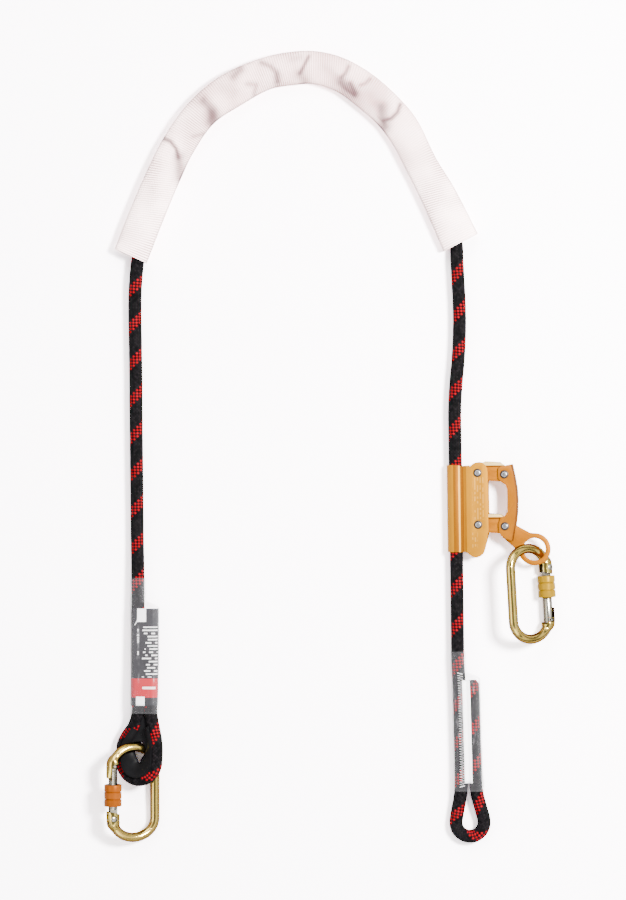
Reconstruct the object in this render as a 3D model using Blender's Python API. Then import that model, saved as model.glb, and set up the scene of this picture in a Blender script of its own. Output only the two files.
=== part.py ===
# Rope lanyard for tree climbing: one length of rope with an eye at each end, a cloth sleeve over its middle,
# a cam adjuster on its right leg and a screw-gate carabiner on the adjuster and on the left eye.
# It lies on a floor at height 0, as laid out: +X to the right, +Y away, +Z up, in metres.
import math

import bmesh
import bpy
import numpy as np
from mathutils import Matrix, Vector
from mathutils.geometry import tessellate_polygon

# Layout, read from a straight-down view in pixels
metres_per_pixel = 0.00106
view_middle = (330.434, 447.05)

# Fits
seat_gap = 0.0003
overrun = 0.004

# Rope
rope_diameter = 0.014
rope_point_gap = 0.026
rope_end_gap = 0.0008
eye_point_gap = 0.0062
strand_pitch = 0.0143

# Heights of the rope's centre above the floor
sheet_thickness = 0.0018
channel_clearance = 0.0003
cloth_thickness = 0.001
rope_radius = rope_diameter / 2
channel_bore = rope_radius + channel_clearance
channel_outer = channel_bore + sheet_thickness
on_floor = rope_radius + seat_gap
in_cloth = rope_radius + cloth_thickness + seat_gap
in_channel = channel_outer

# Clear covers over the sewn ends
label_thickness = 0.0003
cover_wall = 0.0007
label_gap = 0.0006
cover_inside = label_gap + label_thickness + seat_gap
cover_outside = cover_inside + cover_wall
in_cover = rope_radius + cover_outside

# Free stretch of the rope, from the left cover over the arch to the right cover
left_leg_pixels = [(138.0, 592.0), (137.9, 574.0), (137.3, 540.0), (136.9, 500.0), (136.5, 454.0),
                   (136.0, 410.0), (135.9, 384.0), (135.3, 342.0), (134.9, 314.0), (135.3, 288.0)]
left_leg_heights = [in_cover, in_cover, on_floor, on_floor, on_floor, on_floor, on_floor, on_floor,
                    on_floor, in_cloth]
arch_pixels = [(137.6, 262.0), (141.5, 240.0), (149.5, 218.0), (163.5, 182.0), (180.5, 149.0),
               (203.5, 115.0), (244.0, 86.0), (286.0, 71.0), (313.0, 69.5), (337.0, 75.5),
               (360.0, 89.0), (388.0, 114.0),
               (403.0, 132.0), (419.0, 164.0), (436.5, 194.0), (449.0, 220.0), (456.0, 243.0)]
right_leg_pixels = [(457.0, 262.0), (458.1, 282.0), (459.1, 300.0), (459.6, 322.0), (459.2, 342.0),
                    (458.0, 362.0), (456.4, 380.0), (455.2, 396.0)]
travel_pixels = [(454.7, 414.0), (455.0, 438.0), (455.6, 485.0), (456.2, 532.0), (456.8, 579.0),
                 (457.4, 626.0), (457.7, 651.0)]
right_end_pixels = [(458.0, 664.0)]

# Left sewn end: where its middle runs, how high and how far rolled about its length
left_cover_rows = [578.0, 592.0, 600.0, 608.0, 630.0, 660.0, 690.0, 713.0]
left_cover_mid_shares = [0.0, 0.0, 0.0, 1.0, 1.0, 1.0, 1.0, 1.0]
left_strand_pixel = 138.0
left_end_rise = 0.0062
left_end_rolls = [0.0, 0.0, 0.0, 0.0, 0.0, 5.0, 11.0, 17.0]
left_rise_shares = [0.0, 0.0, 0.0, 0.02, 0.15, 0.42, 0.74, 1.0]
left_tail_row = 609.0

# Left eye, drawn in its own leaning plane
left_eye_pixel = (139.5, 760.5)
left_eye_radius = 0.0196
left_eye_straight = 0.01325
left_eye_neck = 0.0505
left_eye_shift = 0.0060
left_eye_roll = 24.0
left_eye_pitch = 4.0
left_eye_floor_gap = 0.0018
left_swing_pixel = (133.8, 767.1)
neck_shares = [0.0, 0.12, 0.25, 0.38, 0.5, 0.62]

# Thimble in the left eye
thimble_wall = 0.0018
thimble_gap = 0.0005
thimble_wrap = 78.0
thimble_web = 0.005
web_setback_share = 0.3
thimble_leg = 0.0365
thimble_arch_rise = 0.0035
thimble_crown = 0.0045
thimble_side_crowns = (0.0034, 0.0050)
thimble_side_top = 0.0045
thimble_side_fade = 0.0045
groove_shares = (1.0, 0.88, 0.76, 0.64, 0.5, 0.36, 0.18)
web_arch_shares = (0.12, 0.25, 0.4, 0.55, 0.7, 0.85)
thimble_dot = 0.0008
thimble_dot_height = 0.0285

# Right sewn end and eye
right_cover_rows = [651.5, 664.0, 671.0, 679.0, 705.0, 735.0, 765.0, 791.0]
right_cover_pixels = [457.7, 458.0, 458.4, 465.6, 466.4, 467.2, 468.0, 468.7]
right_cover_spread_shares = [0.0, 0.0, 0.0, 1.0, 1.0, 1.0, 1.03, 1.16]
right_tail_row = 680.0
right_eye_pixel = (470.1, 822.3)
right_eye_radius = 0.0150
right_eye_wrap = 14.3
strip_width = 0.0080
strip_rows = (682.0, 784.0)
label_rows = (612.0, 706.0)
label_start_angle = 18.0
label_mid_rows = [630.0, 660.0, 690.0]
strip_mid_rows = [705.0, 735.0, 765.0]
cover_sides = 18
label_points = 11
steep_share = 0.02

# Cloth sleeve: its two edges, its height and its creases
sleeve_outer_pixels = [(114.8, 249.0), (127.7, 215.6), (143.7, 177.7), (163.7, 137.8), (189.6, 101.9),
                       (220.0, 76.5), (259.5, 58.9), (286.0, 52.6), (313.0, 51.0), (341.0, 57.0),
                       (371.0, 73.5), (401.0, 100.0), (417.0, 120.0), (436.0, 158.0), (455.0, 189.0),
                       (477.7, 233.6)]
sleeve_inner_pixels = [(146.7, 263.5), (163.7, 219.6), (179.6, 181.7), (193.5, 152.5), (214.0, 123.5),
                       (239.0, 106.5), (271.0, 89.0), (293.0, 85.2), (313.0, 84.0), (337.0, 92.0),
                       (354.0, 104.0), (377.0, 124.0), (391.0, 142.0), (406.0, 170.0), (420.0, 198.0),
                       (443.7, 251.6)]
sleeve_height = 0.0178
sleeve_stations = 38
sleeve_sides = 12
sleeve_squareness = 0.72
sleeve_floor_squareness = 0.5
crease_depth = 0.0022
crease_reach_share = 0.35
crease_spread_share = 0.012
crease_shares = [0.18, 0.30, 0.345, 0.455, 0.50, 0.56, 0.60, 0.69, 0.725]

# Adjuster, drawn in its own plane about the rope, which it meets at this pixel
adjuster_pixel = (455.85, 508.0)
adjuster_roll = 6.4
adjuster_top_row = 465.0
adjuster_bottom_row = 552.0
neck_half = 0.0060
neck_reach = 0.0098
cheek_half = 0.0082
cheek_start = 0.0124
cheek_outline_pixels = [(462.0, 466.0), (468.0, 465.5), (470.6, 467.0), (472.6, 464.3),
                        (475.6, 462.5), (478.9, 462.0),
                        (482.6, 462.8), (485.6, 465.0), (487.6, 468.5), (488.1, 473.0), (488.5, 500.0),
                        (489.0, 531.5), (484.9, 548.6), (483.2, 553.4), (480.0, 556.4), (476.3, 557.3),
                        (472.6, 556.4), (469.4, 553.9), (467.6, 552.3), (462.0, 552.0)]
body_pin_pixels = [(477.9, 472.8), (478.6, 524.6)]
link_span = 0.0284
link_angle = -3.9
lever_pin_pixel = (504.507, 474.286)
pin_radius = 0.0028
pin_head_radius = 0.0034
pin_proud = 0.0004
pin_tip_share = 0.7
countersink_radius = 0.0040
countersink_depth = 0.0014

# Links, drawn from the body pin towards the lever pin
link_half = 0.0061
link_sheet = 0.0016
link_below = 0.0079
link_above = 0.0127
link_end_radius = 0.0078
link_start_angles = (100, 270)
link_end_angles = (-90, 66)
link_web_start = 0.0074
link_web_setback = 0.0062
link_web_end = link_span - link_web_setback
link_bend = 0.0018

# Cams
cam_half = 0.0039
cam_hub = 0.0068
cam_tail = 0.0100
cam_tail_shares = (0.6, 0.5)
cam_hub_angles = (100, 60, -60, -110)
cam_growth = 0.20
cam_low_angle = -24.0
cam_high_angle = 26.0
cam_teeth = 8
tooth_depth = 0.0009
spring_pocket_radius = 0.0056
spring_pocket_floor = 0.0002

# Torsion spring on the upper body pin
spring_wire = 0.0009
spring_mean_radius = 0.0042
spring_turns = 2
spring_rise = 0.0014
spring_turn_points = 10

# Lever
lever_outline_pixels = [(498.6, 468.2), (500.2, 466.6), (512.3, 463.9), (514.9, 475.0),
                        (517.2, 488.0), (518.0, 500.0),
                        (517.7, 512.0), (516.4, 524.0), (513.5, 540.9), (510.8, 540.6),
                        (501.3, 535.6), (499.3, 531.5),
                        (498.9, 523.5), (501.0, 517.6), (505.4, 515.4), (507.4, 511.5), (507.7, 500.0),
                        (507.4, 488.5), (505.6, 484.6), (501.9, 482.2), (498.9, 479.0), (498.2, 473.5)]
lever_spine_count = 7
lever_half = 0.0082
lever_bend = 0.0020
lever_slot_row = 517.0

# Eye plate
ring_pixel = (534.1, 549.0)
ring_outer = 0.0171
ring_hole = 0.0119
ring_half = 0.0025
ring_round = 0.0011
eye_root = 0.0082
eye_upper_pixels = [(529.6, 532.5), (517.9, 526.2), (510.5, 521.6)]
eye_lower_pixels = [(502.6, 537.4), (513.7, 547.0), (517.6, 551.0)]
eye_boss = 0.0074
eye_boss_half = 0.0042
round_steps = 24

# Carabiners
rod_radius = 0.005
rod_sides = 14
bow_width = 0.048
bow_length = 0.106
bow_rise = 0.020
bow_straight = bow_length / 2 - rod_radius - bow_rise
fork_radius = 0.0070
hinge_setback = 0.0012
fork_reach = 0.0054
fork_lip = 0.0080
hinge_height = bow_straight - hinge_setback
fork_root = hinge_height + fork_reach
fork_end = hinge_height - fork_lip
fork_blend = 0.0062
fork_slot = 0.0032
fork_relief = 0.0034
hinge_offset = 0.0012
rivet_radius = 0.0018
rivet_head = 0.0032
rivet_seat = 0.0060
rivet_cap = 0.0010
rivet_tip_share = 0.6
nose_reach = 0.0054
nose_shelf = 0.0094
nose_length = 0.0204
nose_root = -bow_straight - nose_reach
nose_ear = nose_root + nose_shelf
nose_end = nose_root + nose_length
nose_lip = 0.0036
gate_radius = 0.0048
gate_bore_gap = 0.0004
gate_end_gap = 0.0010
gate_tip = nose_root + gate_end_gap
gate_shoulder_gap = 0.0048
gate_neck_gap = 0.0010
gate_shoulder = fork_end - gate_shoulder_gap
gate_neck = fork_end - gate_neck_gap
gate_neck_radius = 0.0036
tongue_half_width = 0.0039
tongue_overlap = 0.0020
tongue_start = gate_shoulder - tongue_overlap
nose_pin_radius = 0.0015
nose_pin_setback = 0.0044
nose_pin_height = nose_root + nose_pin_setback
nose_pin_half = 0.0066
notch_half = 0.0023
plunger_radius = 0.00105
plunger_length = 0.0090
plunger_offset = -0.0026
plunger_bore = 0.00125
plunger_bore_depth = 0.0088
plunger_bore_floor = fork_end - plunger_bore_depth
plunger_tip_shares = (0.7, 0.3)
coil_wire = 0.0004
coil_mean_radius = 0.00074
coil_turns = 7
coil_turn_points = 8
sleeve_radius = 0.0092
sleeve_length = 0.0230
sleeve_ring = 0.0050
sleeve_ring_bore = 0.0051
sleeve_nose_bore = 0.0074
sleeve_groove_depth = 0.0007
sleeve_groove_half = 0.0007
sleeve_groove_shares = [0.33, 0.67]
sleeve_edge = 0.0008

# Where each carabiner lies: a point on its spine, its tilt, lean and pitch
left_spine_pixel = (154.7, 791.15)
left_spine_height = 0.0066
left_crown_row = 741.22
left_tilt = 25.0
left_lean = 0.0
left_pitch = 3.0
left_lock_gap = 0.0004
left_lock_top = gate_shoulder - left_lock_gap
right_gate_pixel = (546.9, 592.4)
right_gate_height = 0.00935
right_crown_row = 542.48
right_tilt = 37.0
right_lean = 3.2
right_pitch = 0.0
right_lock_overlap = 0.0038
right_lock_top = gate_shoulder + right_lock_overlap

for item in list(bpy.data.objects):
    bpy.data.objects.remove(item, do_unlink=True)


def make_material(name, colour, metallic, roughness, alpha=1.0):
    made = bpy.data.materials.new(name)
    made.use_nodes = True
    shader = made.node_tree.nodes["Principled BSDF"]
    shader.inputs["Base Color"].default_value = (*colour, 1.0)
    shader.inputs["Metallic"].default_value = metallic
    shader.inputs["Roughness"].default_value = roughness
    shader.inputs["Alpha"].default_value = alpha
    return made


rope_black = make_material("rope_sheath", (0.02, 0.02, 0.022), 0.0, 0.85)
gold_plate = make_material("gold_plated_steel", (0.86, 0.5, 0.1), 1.0, 0.35)
pin_steel = make_material("pin_steel", (0.62, 0.62, 0.64), 1.0, 0.3)
cam_steel = make_material("cam_steel", (0.45, 0.45, 0.47), 1.0, 0.4)
zinc_steel = make_material("yellow_zinc_steel", (0.72, 0.6, 0.3), 1.0, 0.28)
gate_steel = make_material("gate_steel", (0.7, 0.68, 0.6), 1.0, 0.3)
orange_sleeve = make_material("orange_anodised", (0.85, 0.3, 0.02), 0.6, 0.35)
yellow_sleeve = make_material("yellow_anodised", (0.95, 0.62, 0.01), 0.6, 0.35)
thimble_black = make_material("thimble_plastic", (0.015, 0.015, 0.016), 0.0, 0.5)
clear_film = make_material("clear_film", (0.85, 0.85, 0.86), 0.0, 0.15, 0.35)
label_dark = make_material("label_face", (0.1, 0.1, 0.11), 0.0, 0.6)
strip_white = make_material("strip_face", (0.85, 0.85, 0.85), 0.0, 0.6)
cloth_white = make_material("cloth_weave", (0.86, 0.78, 0.76), 0.0, 0.9)


# Places in the layout
def on_view(pixel, height=0.0):
    return Vector(((pixel[0] - view_middle[0]) * metres_per_pixel,
                   (view_middle[1] - pixel[1]) * metres_per_pixel, height))


def smooth_line(points, gap):
    """Points spaced evenly on a centripetal spline through the route."""
    knots = [points[0] * 2 - points[1], *points, points[-1] * 2 - points[-2]]
    line = []
    for a, b, c, d in zip(knots, knots[1:], knots[2:], knots[3:]):
        t1 = (b - a).length ** 0.5
        t2 = t1 + (c - b).length ** 0.5
        t3 = t2 + (d - c).length ** 0.5
        for k in range(24):
            t = t1 + (t2 - t1) * k / 24
            ab = a * ((t1 - t) / t1) + b * (t / t1)
            bc = b * ((t2 - t) / (t2 - t1)) + c * ((t - t1) / (t2 - t1))
            cd = c * ((t3 - t) / (t3 - t2)) + d * ((t - t2) / (t3 - t2))
            low = ab * ((t2 - t) / t2) + bc * (t / t2)
            high = bc * ((t3 - t) / (t3 - t1)) + cd * ((t - t1) / (t3 - t1))
            line.append(low * ((t2 - t) / (t2 - t1)) + high * ((t - t1) / (t2 - t1)))
    line.append(points[-1].copy())
    run = [0.0]
    for a, b in zip(line, line[1:]):
        run.append(run[-1] + (b - a).length)
    count = max(2, round(run[-1] / gap))
    return at_runs(line, run, [run[-1] * k / count for k in range(count + 1)]), run[-1]


def at_runs(line, run, wanted):
    made = []
    k = 0
    for goal in wanted:
        while k < len(run) - 2 and run[k + 1] < goal:
            k += 1
        part = (goal - run[k]) / (run[k + 1] - run[k])
        made.append(line[k].lerp(line[k + 1], min(1.0, part)))
    return made


# Building blocks
def finish(name, mesh_maker, material, frame=None, origin=None):
    """Makes the object; its origin goes to the given point of the frame that carries it."""
    mesh = bpy.data.meshes.new(name)
    bmesh.ops.recalc_face_normals(mesh_maker, faces=mesh_maker.faces)
    if origin is not None:
        bmesh.ops.translate(mesh_maker, verts=mesh_maker.verts, vec=-Vector(origin))
    mesh_maker.to_mesh(mesh)
    mesh_maker.free()
    made = bpy.data.objects.new(name, mesh)
    bpy.context.scene.collection.objects.link(made)
    if material:
        mesh.materials.append(material)
    if frame:
        made.parent = frame
    if origin is not None:
        made.location = origin
    return made


def frame_at(name, matrix):
    made = bpy.data.objects.new(name, None)
    bpy.context.scene.collection.objects.link(made)
    made.matrix_world = matrix
    return made


def grid(rows, closed=False):
    """A closed surface over rows of points: each row is a loop. Closed joins the last row to the first."""
    work = bmesh.new()
    made = [[work.verts.new(point) for point in row] for row in rows]
    pairs = list(zip(made, made[1:]))
    if closed:
        pairs.append((made[-1], made[0]))
    for low, high in pairs:
        for k in range(len(low)):
            n = (k + 1) % len(low)
            work.faces.new((low[k], low[n], high[n], high[k]))
    if not closed:
        work.faces.new(made[0])
        work.faces.new(made[-1][::-1])
    return work


def lathe(profile, sides, axis="Z"):
    """Turns a profile of radius and height about the axis. A radius of zero closes it."""
    work = bmesh.new()
    rows = []
    for radius, height in profile:
        if radius == 0:
            rows.append([work.verts.new((0, 0, height))])
        else:
            rows.append([work.verts.new((radius * math.cos(math.tau * k / sides),
                                         radius * math.sin(math.tau * k / sides), height))
                         for k in range(sides)])
    pairs = list(zip(rows, rows[1:]))
    if profile[0][0] > 0:
        pairs.append((rows[-1], rows[0]))
    for low, high in pairs:
        for k in range(sides):
            n = (k + 1) % sides
            if len(low) == 1:
                work.faces.new((low[0], high[n], high[k]))
            elif len(high) == 1:
                work.faces.new((low[k], low[n], high[0]))
            else:
                work.faces.new((low[k], low[n], high[n], high[k]))
    if axis == "Y":
        bmesh.ops.rotate(work, verts=work.verts, matrix=Matrix.Rotation(-math.pi / 2, 3, "X"))
    return work


def plate(outline, holes, low, high, bends=(), bend_radius=0.0):
    """A flat plate between two heights, with round holes and, along the listed sides, a bend."""
    loops = [[Vector((x, y, 0)) for x, y in outline]]
    for centre, radius, steps in holes:
        loops.append([Vector((centre[0] + radius * math.cos(-math.tau * k / steps),
                              centre[1] + radius * math.sin(-math.tau * k / steps), 0))
                      for k in range(steps)])
    flat = [point for loop in loops for point in loop]
    work = bmesh.new()
    bottom = [work.verts.new((p.x, p.y, low)) for p in flat]
    top = [work.verts.new((p.x, p.y, high)) for p in flat]
    for a, b, c in tessellate_polygon(loops):
        work.faces.new((bottom[a], bottom[b], bottom[c]))
        work.faces.new((top[a], top[b], top[c]))
    start = 0
    for loop in loops:
        for k in range(len(loop)):
            a, b = start + k, start + (k + 1) % len(loop)
            work.faces.new((bottom[a], bottom[b], top[b], top[a]))
        start += len(loop)
    bmesh.ops.recalc_face_normals(work, faces=work.faces)
    if bends:
        chosen = [edge for edge in work.edges for side in (bottom, top) for k in bends
                  if set(edge.verts) == {side[k], side[(k + 1) % len(outline)]}]
        bmesh.ops.bevel(work, geom=chosen, offset=bend_radius, segments=3, profile=0.5, affect="EDGES")
    return work


def turned(work, matrix):
    bmesh.ops.transform(work, matrix=matrix, verts=work.verts)
    return work


def combine(target, other, operation):
    other.hide_render = True
    other.display_type = "WIRE"
    step = target.modifiers.new(other.name, "BOOLEAN")
    step.object = other
    step.operation = operation
    step.solver = "EXACT"


def cut(target, name, work, frame):
    combine(target, finish(name, work, None, frame), "DIFFERENCE")


def arc(centre, radius, first, last, steps):
    return [(centre[0] + radius * math.cos(math.radians(first + (last - first) * k / steps)),
             centre[1] + radius * math.sin(math.radians(first + (last - first) * k / steps)))
            for k in range(steps + 1)]


def tube(name, points, radius, resolution, material, frame=None):
    """A tube on a curve, as cords and wound wire are made."""
    curve = bpy.data.curves.new(name, "CURVE")
    curve.dimensions = "3D"
    spline = curve.splines.new("POLY")
    spline.points.add(len(points) - 1)
    for spot, point in zip(spline.points, points):
        spot.co = (*point, 1.0)
    curve.bevel_depth = radius
    curve.bevel_resolution = resolution
    curve.use_fill_caps = True
    curve.materials.append(material)
    made = bpy.data.objects.new(name, curve)
    bpy.context.scene.collection.objects.link(made)
    if frame:
        made.parent = frame
    return made


def least_gap(points, wire, apart):
    spots = np.array([tuple(p) for p in points])
    far = np.linalg.norm(spots[:, None] - spots[None], axis=2)
    index = np.arange(len(spots))
    far[abs(index[:, None] - index[None]) < apart] = np.inf
    return far.min() - wire


# Rope: free stretch
left_leg = [on_view(p, z) for p, z in zip(left_leg_pixels, left_leg_heights)]
arch = [on_view(p, in_cloth) for p in arch_pixels]
right_leg = [on_view(p, in_channel) for p in right_leg_pixels + travel_pixels + right_end_pixels]
rope_line, rope_run = smooth_line(left_leg + arch + right_leg, rope_point_gap)
rope = tube("rope", rope_line, rope_radius, 4, rope_black)


# Sewn ends: a strand's centre at each row of the layout
def strand_places(rows, mids, heights, rolls, spreads):
    sides = []
    for side in (-1, 1):
        line = []
        for row, mid, height, roll, spread in zip(rows, mids, heights, rolls, spreads):
            half = strand_pitch / 2 * spread
            turn = math.radians(roll)
            line.append(on_view((mid, row), height) + Vector((side * half * math.cos(turn), 0,
                                                             side * half * math.sin(turn))))
        sides.append(line)
    return sides


half_pitch_pixels = strand_pitch / 2 / metres_per_pixel
left_mids = [left_strand_pixel + half_pitch_pixels * share for share in left_cover_mid_shares]
left_heights = [in_cover + left_end_rise * share for share in left_rise_shares]
left_near, left_tail = strand_places(left_cover_rows, left_mids, left_heights, left_end_rolls,
                                     left_cover_mid_shares)

# Left eye in its plane
eye_roll, eye_pitch = math.radians(left_eye_roll), math.radians(left_eye_pitch)
eye_across = Vector((math.cos(eye_roll), 0, math.sin(eye_roll)))
eye_along = Vector((0, math.cos(eye_pitch), -math.sin(eye_pitch)))
eye_along = (eye_along - eye_across * eye_along.dot(eye_across)).normalized()
eye_normal = eye_across.cross(eye_along)
eye_height = rope_radius + left_eye_floor_gap + left_eye_radius * math.sin(eye_roll)
eye_matrix = Matrix((eye_across, eye_along, eye_normal)).transposed().to_4x4()
eye_matrix.translation = on_view(left_eye_pixel, eye_height)
left_eye_frame = frame_at("left_eye_frame", eye_matrix)


def eye_side(side, height):
    part = max(0.0, (height - left_eye_straight) / (left_eye_neck - left_eye_straight))
    ease = part * part * (3 - 2 * part)
    half = left_eye_radius + (strand_pitch / 2 - left_eye_radius) * ease
    return Vector((side * half + left_eye_shift * ease, height, 0))


neck_heights = [left_eye_straight + (left_eye_neck - left_eye_straight) * share for share in neck_shares]
bowl = [Vector((left_eye_radius * math.cos(a), left_eye_radius * math.sin(a), 0))
        for a in np.linspace(-math.pi, 0, 13)]
left_eye_flat = [eye_side(-1, h) for h in neck_heights[::-1]] + bowl + [eye_side(1, h) for h in neck_heights]
left_eye_world = [eye_matrix @ p for p in left_eye_flat]
left_start = left_near[1] - Vector((0, rope_end_gap, 0))
left_route = [left_start, *left_near[3:], *left_eye_world, *left_tail[:3:-1],
              on_view((left_mids[-1], left_tail_row), left_heights[3]) + Vector((strand_pitch / 2, 0, 0))]
left_line, left_run = smooth_line(left_route, eye_point_gap)
rope_left_eye = tube("rope_left_eye", left_line, rope_radius, 3, rope_black)

# Right eye, flat on its back
right_heights = [in_channel] * len(right_cover_rows)
right_rolls = [0.0] * len(right_cover_rows)
right_near, right_tail = strand_places(right_cover_rows, right_cover_pixels, right_heights, right_rolls,
                                       right_cover_spread_shares)
right_eye_centre = on_view(right_eye_pixel, on_floor)
eye_wrap = math.radians(right_eye_wrap)
right_bowl = [right_eye_centre + Vector((right_eye_radius * math.cos(a), right_eye_radius * math.sin(a), 0))
              for a in np.linspace(-math.pi - eye_wrap, eye_wrap, 14)]
right_start = on_view(right_end_pixels[0], in_channel) - Vector((0, rope_end_gap, 0))
right_route = [right_start, *right_near[3:], *right_bowl, *right_tail[:3:-1],
               on_view((right_cover_pixels[3], right_tail_row), in_channel)
               + Vector((strand_pitch / 2, 0, 0))]
right_line, right_run = smooth_line(right_route, eye_point_gap)
rope_right_eye = tube("rope_right_eye", right_line, rope_radius, 3, rope_black)


# Thimble: a half-round groove swept round the eye, with a web in its throat
def groove_ring(point, inward, crown):
    inner, outer = rope_radius + thimble_gap, rope_radius + thimble_gap + thimble_wall
    wrap = math.radians(thimble_wrap)
    normal = Vector((0, 0, 1))
    ring = []
    for radius, angles in ((outer, np.linspace(-wrap, wrap, 9)), (inner, np.linspace(wrap, -wrap, 9))):
        for a in angles:
            reach = radius + (crown * math.cos(a) ** 4 if radius == outer else 0.0)
            ring.append(point + inward * (reach * math.cos(a)) + normal * (radius * math.sin(a)))
    return ring


def eye_path(limit):
    heights = [limit * share for share in groove_shares]
    round_part = [Vector((left_eye_radius * math.cos(a), left_eye_radius * math.sin(a), 0))
                  for a in np.linspace(-math.pi, 0, 13)]
    return [eye_side(-1, h) for h in heights] + round_part + [eye_side(1, h) for h in heights[::-1]]


groove_path = eye_path(thimble_leg)
groove_rows = []
for k, point in enumerate(groove_path):
    before, after = groove_path[max(0, k - 1)], groove_path[min(len(groove_path) - 1, k + 1)]
    along = (after - before).normalized()
    inward = Vector((-along.y, along.x, 0))
    fade = min(1.0, max(0.0, (thimble_side_top + thimble_side_fade - point.y) / thimble_side_fade))
    side_crown = thimble_side_crowns[0 if point.x < 0 else 1] * inward.x ** 2 * fade
    groove_rows.append(groove_ring(point, inward, thimble_crown * max(0.0, inward.y) ** 2 + side_crown))
thimble = finish("left_thimble", grid(groove_rows), thimble_black, left_eye_frame)

groove_middle = rope_radius + thimble_gap + thimble_wall / 2
wall_line = []
for k, point in enumerate(groove_path):
    along = (groove_path[min(len(groove_path) - 1, k + 1)] - groove_path[max(0, k - 1)]).normalized()
    wall_line.append(point + Vector((-along.y, along.x, 0)) * groove_middle)
wall_line[0] = wall_line[0].lerp(wall_line[1], web_setback_share)
wall_line[-1] = wall_line[-1].lerp(wall_line[-2], web_setback_share)
web_left = wall_line[3::-1]
web_right = wall_line[-4:]
web_arch = [web_left[0].lerp(web_right[0], share)
            + Vector((0, thimble_arch_rise * math.sin(math.pi * share), 0))
            for share in web_arch_shares]
web_outline = [(p.x, p.y) for p in web_arch + web_right + web_left[::-1]]
dot_sides = [eye_side(side, thimble_dot_height).x for side in (-1, 1)]
dot_place = (sum(dot_sides) / 2, thimble_dot_height)
web_plate = plate(web_outline, [(dot_place, thimble_dot, 8)], -thimble_web / 2, thimble_web / 2)
web = finish("thimble_web", web_plate, None, left_eye_frame)
combine(thimble, web, "UNION")


# Clear covers: a skin round one strand, then round both
def capsule(near, tail, offset, sides, first=0.0, last=360.0):
    """Points at an offset from two strands side by side, in the upright plane of their row."""
    across = Vector((tail.x - near.x, 0, tail.z - near.z))
    turn = math.atan2(across.z, across.x) if across.length > 0 else 0.0
    ring = []
    for k in range(sides):
        angle = math.radians(first + (last - first) * k / (sides if last - first == 360 else sides - 1))
        centre = tail if math.cos(angle) > 0 else near
        if abs(math.cos(angle)) < steep_share:
            centre = near.lerp(tail, 0.5)
        direction = angle + turn
        ring.append(Vector((centre.x + offset * math.cos(direction), centre.y,
                            centre.z + offset * math.sin(direction))))
    return ring


def cover(name, near, tail):
    inner = [capsule(a, b, rope_radius + cover_inside, cover_sides) for a, b in zip(near, tail)]
    outer = [capsule(a, b, rope_radius + cover_outside, cover_sides) for a, b in zip(near, tail)]
    return finish(name, grid(outer + inner[::-1], closed=True), clear_film)


cover("left_clear_cover", left_near, left_tail)
cover("right_clear_cover", right_near, right_tail)


# Blank label under the left cover and blank strip under the right one
def between_rows(rows, near, tail, wanted):
    made = []
    for row in wanted:
        k = max(i for i in range(len(rows) - 1) if rows[i] <= row)
        part = (row - rows[k]) / (rows[k + 1] - rows[k])
        made.append((near[k].lerp(near[k + 1], part), tail[k].lerp(tail[k + 1], part)))
    return made


label_stations = between_rows(left_cover_rows, left_near, left_tail,
                              [label_rows[0], *label_mid_rows, label_rows[1]])
label_rings = []
for near, tail in label_stations:
    low = capsule(near, tail, rope_radius + label_gap, label_points, label_start_angle,
                  180 - label_start_angle)
    high = capsule(near, tail, rope_radius + label_gap + label_thickness, label_points, label_start_angle,
                   180 - label_start_angle)
    label_rings.append(low + high[::-1])
left_label = finish("left_label", grid(label_rings), label_dark)

strip_stations = between_rows(right_cover_rows, right_near, right_tail,
                              [strip_rows[0], *strip_mid_rows, strip_rows[1]])
strip_rings = []
for near, tail in strip_stations:
    middle = near.lerp(tail, 0.5)
    reach = (tail - near).length / 2 - strip_width / 2
    rise = math.sqrt(rope_radius ** 2 - max(0.0, reach) ** 2) + label_gap
    strip_rings.append([middle + Vector((x, 0, z)) for x, z in
                        ((-strip_width / 2, rise), (strip_width / 2, rise),
                         (strip_width / 2, rise + label_thickness),
                         (-strip_width / 2, rise + label_thickness))])
finish("right_label_strip", grid(strip_rings), strip_white)


# Cloth sleeve: a flattened tube between its two edges, creased where it bends
def even_edge(pixels):
    line, run = smooth_line([on_view(p) for p in pixels], metres_per_pixel)
    steps = [0.0]
    for a, b in zip(line, line[1:]):
        steps.append(steps[-1] + (b - a).length)
    marks = [0.0]
    for a, b in zip(pixels, pixels[1:]):
        marks.append(marks[-1] + math.dist(a, b))
    return line, steps


outer_line, outer_steps = even_edge(sleeve_outer_pixels)
inner_line, inner_steps = even_edge(sleeve_inner_pixels)


def nearest_run(line, steps, pixel):
    spot = on_view(pixel)
    best = min(range(len(line)), key=lambda k: (line[k] - spot).length)
    return steps[best]


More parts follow.
